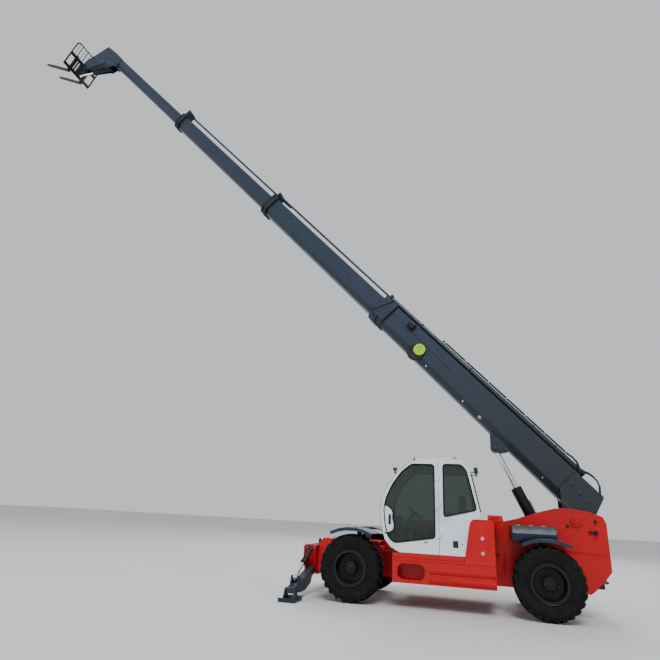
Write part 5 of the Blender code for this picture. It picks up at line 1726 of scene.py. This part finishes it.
    def side_fittings(self) -> None:
        """Doubler bosses, seams, pins along the lower edges and pivot pin caps."""
        plain = Pen("doubler_bosses", BOOM)
        bolts = Pen("lower_edge_pins", BOOM)
        seams = Pen("side_seams", BOOM)
        slope = Vector((0.0, self.chamfer[1], self.chamfer[0])).normalized()
        for sign in SIGNS:
            face = sign * self.doubler_face
            out = (0.0, sign, 0.0)
            for s, h in ((0.064, 0.456), (0.270, 0.461), (0.479, 0.465)):
                plain.turned((s, face, h), out, [(0.036, -0.003), (0.036, 0.010), (0.024, 0.014),
                                                 (0.022, 0.007)])
            seams.pipe([(s, face, h) for s, h in ((0.583, 0.69), (0.590, 0.28), (0.32, 0.04))], 0.005, 6)
            seams.pipe([(s, sign * (self.half + 0.0005), h) for s, h in ((3.60, 0.480), (5.59, 0.525))],
                       0.004, 6)
            for s, radius in ((0.909, 0.016), (2.538, 0.026), (3.011, 0.016), (4.117, 0.016)):
                at = (s, sign * (self.half - self.chamfer[0] * 0.46), 0.19)
                bolts.bolt(at, (0.0, sign * slope.y, -slope.z), radius, 0.022)
            plain.turned((1.89, sign * 0.171, -0.045), out,
                         [(0.042, -0.004), (0.042, 0.014), (0.030, 0.018)])
        plain.piece(GREY, "boom_1")
        bolts.piece(ZINC, "boom_1")
        seams.piece(DARK_BAND_AND_SHADE, "boom_1")

    def reel(self) -> None:
        """Sheave with a lime cover, a grooved drum behind it, and a valve box above."""
        s, h = self.reel_place
        out = (0.0, -1.0, 0.0)
        face = -self.half - 0.004
        cover = Pen("reel_cover", BOOM)
        cover.turned((s, face - 0.052, h), out,
                     [(0.128, 0.0), (0.134, 0.006), (0.126, 0.014), (0.070, 0.020), (0.056, 0.010),
                      (0.026, 0.010), (0.024, 0.022)], 44)
        for a, b in circle(5, 0.098, (s, h)):
            cover.bolt((a, face - 0.066, b), out, 0.008, 0.006)
        cover.piece(LIME, "boom_1")
        drum = Pen("reel_drum", BOOM)
        drum.turned((s + 0.030, face, h - 0.105), out,
                    [(0.150, 0.0), (0.185, 0.004), (0.188, 0.010), (0.165, 0.014), (0.165, 0.022),
                     (0.188, 0.026), (0.188, 0.032), (0.150, 0.036), (0.120, 0.030)], 48)
        drum.piece(BLACK, "boom_1")
        bracket = Pen("reel_bracket", BOOM)
        bracket.bar((s, face, h), (s, face - 0.055, h), 0.050, 24)
        bracket.block((s - 0.13, face - 0.030, h - 0.02), (s - 0.04, face + 0.006, h + 0.10), 0.010)
        bracket.block((4.93, face - 0.080, 0.545), (5.10, face + 0.006, 0.692), 0.014)
        bracket.piece(BLACK, "boom_1")

    def build(self) -> None:
        """Make all the boom's trim."""
        self.collars()
        self.extension()
        self.side_fittings()
        self.reel()


@dataclass
class HeadTrim:
    """Pin caps, stiffeners and lines on the boom head, and fork and carriage fittings."""

    tilt_base: tuple[float, float] = (20.00, 0.06)
    tilt_pivot: tuple[float, float] = (20.98, -0.52)
    plate: float = 0.135
    shank: float = 0.30
    fork_foot: float = -0.50

    def head(self) -> None:
        """Pin caps, edge beads, linkage guards and pipes on the gooseneck."""
        caps = Pen("head_pin_caps", BOOM)
        beads = Pen("head_edges", BOOM)
        outline = [(20.83, 0.575), (20.975, 0.05), (21.105, -0.38)]
        under = [(20.72, -0.54), (20.46, -0.14), (20.26, 0.09)]
        for sign in SIGNS:
            face = sign * self.plate
            out = (0.0, sign, 0.0)
            for s, h in (self.tilt_base, self.tilt_pivot):
                caps.turned((s, face, h), out, [(0.050, -0.003), (0.050, 0.010), (0.030, 0.014)])
                caps.bolt((s - 0.07, face, h + 0.02), out, 0.009)
            for line in (outline, under):
                beads.pipe([(s, face, h) for s, h in line], 0.008, 6)
            for s in (19.95, 20.15, 20.35, 20.55):
                caps.bolt((s, face, 0.45), out, 0.011)
            beads.pipe([(19.82, face, 0.33), (20.40, face, 0.30), (20.72, face, 0.05)], 0.007, 6)
        caps.piece(BLACK, "boom_4")
        beads.piece(SLATE, "boom_4")
        guards = Pen("tilt_guards", BOOM)
        for sign in SIGNS:
            guards.slab(rounded([(19.98, 0.02), (20.26, 0.10), (20.46, -0.13), (20.66, -0.44),
                                 (20.58, -0.50), (20.30, -0.26), (20.08, -0.06)], 0.03),
                        sign * (self.plate - 0.002), sign * (self.plate - 0.010))
        guards.piece(DARK_BAND_AND_SHADE, "boom_4")
        lines = Pen("head_pipes", BOOM)
        for y in (-0.05, 0.05):
            lines.pipe([(19.86, y, 0.600), (20.50, y, 0.603), (20.80, y, 0.600), (20.86, y, 0.55),
                        (20.93, y, 0.30)], 0.011, 10)
        lines.block((20.30, -0.075, 0.584), (20.34, 0.075, 0.622), 0.005)
        lines.piece(PIPE, "boom_4")

    def carriage(self) -> None:
        """Lock teeth, lock pins, pivot rings and guard rods on the carriage, and the fork hooks."""
        shank, low = self.shank, self.fork_foot
        trim = Pen("carriage_trim", CARRIAGE)
        for k in range(9):
            y = -0.56 + 0.14 * k
            trim.block((shank - 0.030, y - 0.008, low + 0.600),
                       (shank - 0.002, y + 0.008, low + 0.630), 0.002)
        for sign in SIGNS:
            lock = (sign * 0.60, low + 0.12)
            trim.bar((shank - 0.06, *lock), (shank - 0.002, *lock), 0.018)
            trim.lathe((0.0, sign * 0.1225, 0.0), (0.0, sign, 0.0),
                       [(0.032, 0.0), (0.060, 0.0), (0.060, 0.008), (0.032, 0.008)], 24)
        for y in (-0.50, -0.25, 0.0, 0.25, 0.50):
            trim.bar((0.25, y, 0.115), (0.25, y, 0.560), 0.009, 10)
        trim.piece(BLACK, "carriage")
        for side, sign in SIDES.items():
            fork_low, fork_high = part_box("fork_" + side)
            y = (fork_low[1] + fork_high[1]) / 2
            hook = Pen("fork_fittings_" + side, CARRIAGE)
            hook.block((shank + 0.001, y - 0.055, low + 0.622),
                       (shank + 0.044, y + 0.055, low + 0.668), 0.008)
            hook.block((shank + 0.030, y - 0.060, low + 0.035),
                       (shank + 0.075, y + 0.060, low + 0.075), 0.010)
            hook.bar((shank + 0.022, y, low + 0.66), (shank + 0.022, y, low + 0.705), 0.012)
            hook.pipe([(shank + 0.022, y, low + 0.70), (shank + 0.022, y + 0.035, low + 0.708)], 0.007)
            hook.piece(STEEL, "fork_" + side)

    def build(self) -> None:
        """Make the head's and the carriage's trim."""
        self.head()
        self.carriage()


# ---------------------------------------------------------------- cylinders and stabilisers

@dataclass
class CylinderTrim:
    """Gland nuts, port blocks and oil lines on the cylinders, and the lift barrels' outer tubes."""

    lift_spread: float = 0.105
    lift_sleeve: float = 0.099

    def dress(self, name: str, body: str, hinge: Vector, along: Vector, mouth: float,
              radius: float, sleeve: float = 0.0) -> None:
        """Trim one barrel.

        Args:
            name: What the piece is called.
            body: The body of the barrel.
            hinge: Middle of the base eye.
            along: Direction from the base eye to the rod.
            mouth: Distance from the base eye to the barrel's mouth.
            radius: The barrel's radius.
            sleeve: Radius of an outer tube over its upper part, or 0 for none.
        """
        side = -SIDEWAYS if abs(along.y) < 0.5 else Vector((-1.0 if along.y > 0.0 else 1.0, 0.0, 0.0))
        pen = Pen(name, axes(along, side, along.cross(side), hinge))
        pen.lathe((mouth - 0.075, 0.0, 0.0), (1.0, 0.0, 0.0),
                  [(radius - 0.004, 0.0), (radius + 0.007, 0.004), (radius + 0.007, 0.066),
                   (radius - 0.006, 0.074)], 28, True)
        if sleeve:
            end = mouth * 0.58
            pen.lathe((mouth - end, 0.0, 0.0), (1.0, 0.0, 0.0),
                      [(radius - 0.004, 0.0), (sleeve - 0.006, 0.0), (sleeve, 0.010),
                       (sleeve, end - 0.004), (sleeve - 0.006, end + 0.004),
                       (radius * 0.62, end + 0.004), (radius * 0.62, end + 0.001),
                       (radius - 0.004, end + 0.001)], 32, True)
        for share in (0.18, 0.80):
            at = mouth * share
            pen.block((at - 0.022, -0.020, radius - 0.006), (at + 0.022, 0.020, radius + 0.018), 0.004)
            pen.bar((at, 0.0, radius + 0.016), (at, 0.0, radius + 0.034), 0.011, 6)
        pen.pipe([(mouth * 0.18, 0.0, radius + 0.03), (mouth * 0.20, 0.0, radius + 0.036),
                  (mouth * 0.5, 0.0, radius + 0.022), (mouth * 0.78, 0.0, radius + 0.036),
                  (mouth * 0.80, 0.0, radius + 0.03)], 0.007)
        pen.piece(BLACK, body)

    def build(self) -> None:
        """Trim the lift, tilt and stabiliser barrels."""
        for name, body, mouth, radius in (("lift", "lift_barrels", 1.53, 0.080),
                                          ("tilt", "tilt_barrel", 0.74, 0.055)):
            hinge = joint(name + "_barrel_hinge")
            along = Vector(joint(name + "_rod_slide")["axis"])
            pair = name == "lift"
            for number, y in enumerate((-self.lift_spread, self.lift_spread) if pair else (0.0,)):
                at = Vector(hinge["pos_m"]) + Vector((0.0, y, 0.0))
                self.dress("%s_cylinder_trim_%d" % (name, number + 1), body, at, along, mouth, radius,
                           self.lift_sleeve if pair else 0.0)
        for side in SIDES:
            hinge = joint("leg_barrel_%s_hinge" % side)
            slide = joint("leg_rod_%s_slide" % side)
            self.dress("stabiliser_cylinder_trim_" + side, "leg_barrel_" + side,
                       Vector(hinge["pos_m"]), Vector(slide["axis"]), 0.505, 0.050)


@dataclass
class StabiliserTrim:
    """Pin caps and plate edges on the stabilisers, flared feet and the legs' deeper bellies."""

    front: float = -2.84
    back: float = -2.60

    def build(self) -> None:
        """Make the stabilisers' trim."""
        caps = Pen("stabiliser_pin_caps")
        red = Pen("stabiliser_beads")
        for sign in SIGNS:
            for y, z, radius in ((0.33, 0.45, 0.058), (0.50, 0.84, 0.046)):
                for x, out in ((self.front, (-1.0, 0.0, 0.0)), (self.back, (1.0, 0.0, 0.0))):
                    caps.turned((x, sign * y, z), out,
                                [(radius, -0.003), (radius, 0.012), (radius * 0.6, 0.016)])
                    caps.bolt((x, sign * y * 0.8, z - 0.02), out, 0.008, 0.007)
        for y in (-0.12, 0.12):
            for z in (0.50, 0.63, 0.76):
                caps.bolt((self.front, y, z), (-1.0, 0.0, 0.0), 0.013)
        outline = rounded([(-0.56, 0.76), (-0.42, 0.36), (0.42, 0.36), (0.56, 0.76), (0.52, 0.90),
                           (-0.52, 0.90)], 0.03)
        for x in (self.front, self.back):
            red.loop(outline, x, 0.006, "x", 6)
        caps.piece(IRON)
        red.piece(RED)
        for side, sign in SIDES.items():
            pad_low, pad_high = machine_box("foot_pad_" + side)
            foot = Pen("foot_flares_" + side)
            top = pad_low.z + 0.025
            for y, lean in ((pad_low.y, -1.0), (pad_high.y, 1.0)):
                foot.slab([(y - lean * 0.006, pad_low.z + 0.004), (y + lean * 0.002, pad_low.z + 0.010),
                           (y + lean * 0.030, top + 0.045), (y + lean * 0.020, top + 0.048),
                           (y - lean * 0.010, top)], pad_low.x + 0.004, pad_high.x - 0.004, "x")
            foot.piece(SLATE, "foot_" + side)
            hinge = Vector(joint("leg_%s_hinge" % side)["pos_m"])
            belly = Pen("leg_belly_" + side, axes(Vector((0.0, sign, 0.0)), Vector((1.0, 0.0, 0.0)),
                                                  Vector((0.0, 0.0, 1.0)), hinge))
            belly.slab(rounded([(0.16, -0.08), (0.98, -0.26), (0.94, -0.34), (0.60, -0.335),
                                (0.24, -0.235)], 0.03), -0.066, 0.066)
            belly.piece(SLATE, "leg_" + side)


# ---------------------------------------------------------------- studio

@dataclass
class Studio:
    """Floor, lights and camera."""

    lens: float = 28.12
    place: Point = (0.7344, -11.373, 1.5031)
    yaw: float = 0.2937
    pitch: float = 0.3434
    roll: float = 0.0528
    floor_half: float = 90.0
    sky: float = 0.76
    aim: Point = (0.0, 0.0, 5.0)

    def floor(self) -> None:
        """A plain pale floor."""
        made = bmesh.new()
        bmesh.ops.create_grid(made, x_segments=1, y_segments=1, size=self.floor_half)
        data = bpy.data.meshes.new("studio_floor")
        made.to_mesh(data)
        made.free()
        graph = Graph("studio_floor_paint")
        graph.link(graph.blend(graph.remap(graph.noise(0.3), 0.3, 0.7), (0.60, 0.60, 0.60),
                               (0.64, 0.64, 0.64)), graph.shader.inputs["Base Color"])
        graph.set(Roughness=0.75)
        data.materials.append(graph.material)
        ground = bpy.data.objects.new("studio_floor", data)
        bpy.context.scene.collection.objects.link(ground)

    def area(self, name: str, place: Point, size: float, power: float) -> None:
        """A soft square lamp that points at the machine.

        Args:
            name: Its name.
            place: Where it hangs.
            size: Length of its sides.
            power: Its power in watts.
        """
        lamp = bpy.data.lights.new(name, "AREA")
        lamp.shape = "SQUARE"
        lamp.size = size
        lamp.energy = power
        made = bpy.data.objects.new(name, lamp)
        made.location = place
        made.rotation_euler = (Vector(self.aim) - Vector(place)).to_track_quat("-Z", "Y").to_euler()
        bpy.context.scene.collection.objects.link(made)

    def lights(self) -> None:
        """A bright pale sky, a large key from the cab side and a fill in front."""
        world = bpy.data.worlds.new("studio_air")
        world.use_nodes = True
        back = world.node_tree.nodes["Background"]
        back.inputs["Color"].default_value = (0.93, 0.95, 1.0, 1.0)
        back.inputs["Strength"].default_value = self.sky
        bpy.context.scene.world = world
        self.area("key_light", (10.0, -20.0, 24.0), 11.0, 6000.0)
        self.area("fill_light", (-18.0, -14.0, 9.0), 12.0, 1300.0)
        self.area("rim_light", (6.0, 18.0, 18.0), 12.0, 2600.0)

    def camera(self) -> None:
        """The camera, low on the cab side and looking up along the boom."""
        flat = Vector((-sin(self.yaw), cos(self.yaw), 0.0))
        right = Vector((cos(self.yaw), sin(self.yaw), 0.0))
        up = Vector((0.0, 0.0, 1.0))
        look = flat * cos(self.pitch) + up * sin(self.pitch)
        rise = up * cos(self.pitch) - flat * sin(self.pitch)
        across = right * cos(self.roll) + rise * sin(self.roll)
        above = rise * cos(self.roll) - right * sin(self.roll)
        data = bpy.data.cameras.new("camera")
        data.sensor_width = 36.0
        data.lens = self.lens
        data.clip_end = 400.0
        made = bpy.data.objects.new("camera", data)
        made.matrix_world = axes(across, above, -look, MACHINE @ Vector(self.place))
        bpy.context.scene.collection.objects.link(made)
        bpy.context.scene.camera = made

    def build(self) -> None:
        """Make the studio."""
        self.camera()
        self.floor()
        self.lights()


def main() -> None:
    """Build the studio, dress the CAD nodes and add every piece."""
    logging.basicConfig(level=logging.INFO, format="%(message)s")
    Studio().build()
    NodeFinishes().apply()
    for end in ENDS:
        AxleTrim(end).build()
        for side in SIDES:
            Wheel(end, side).build()
            FenderTrim(end, side).build()
    for group in (ChassisTrim(), SkirtTrim(), TankTrim(), Toolbox(), EngineSide(), CabTrim(),
                  CabInterior(), BoomTrim(), HeadTrim(), CylinderTrim(), StabiliserTrim()):
        group.build()
        LOG.info("built %s", type(group).__name__)


if __name__ == "__main__":
    main()
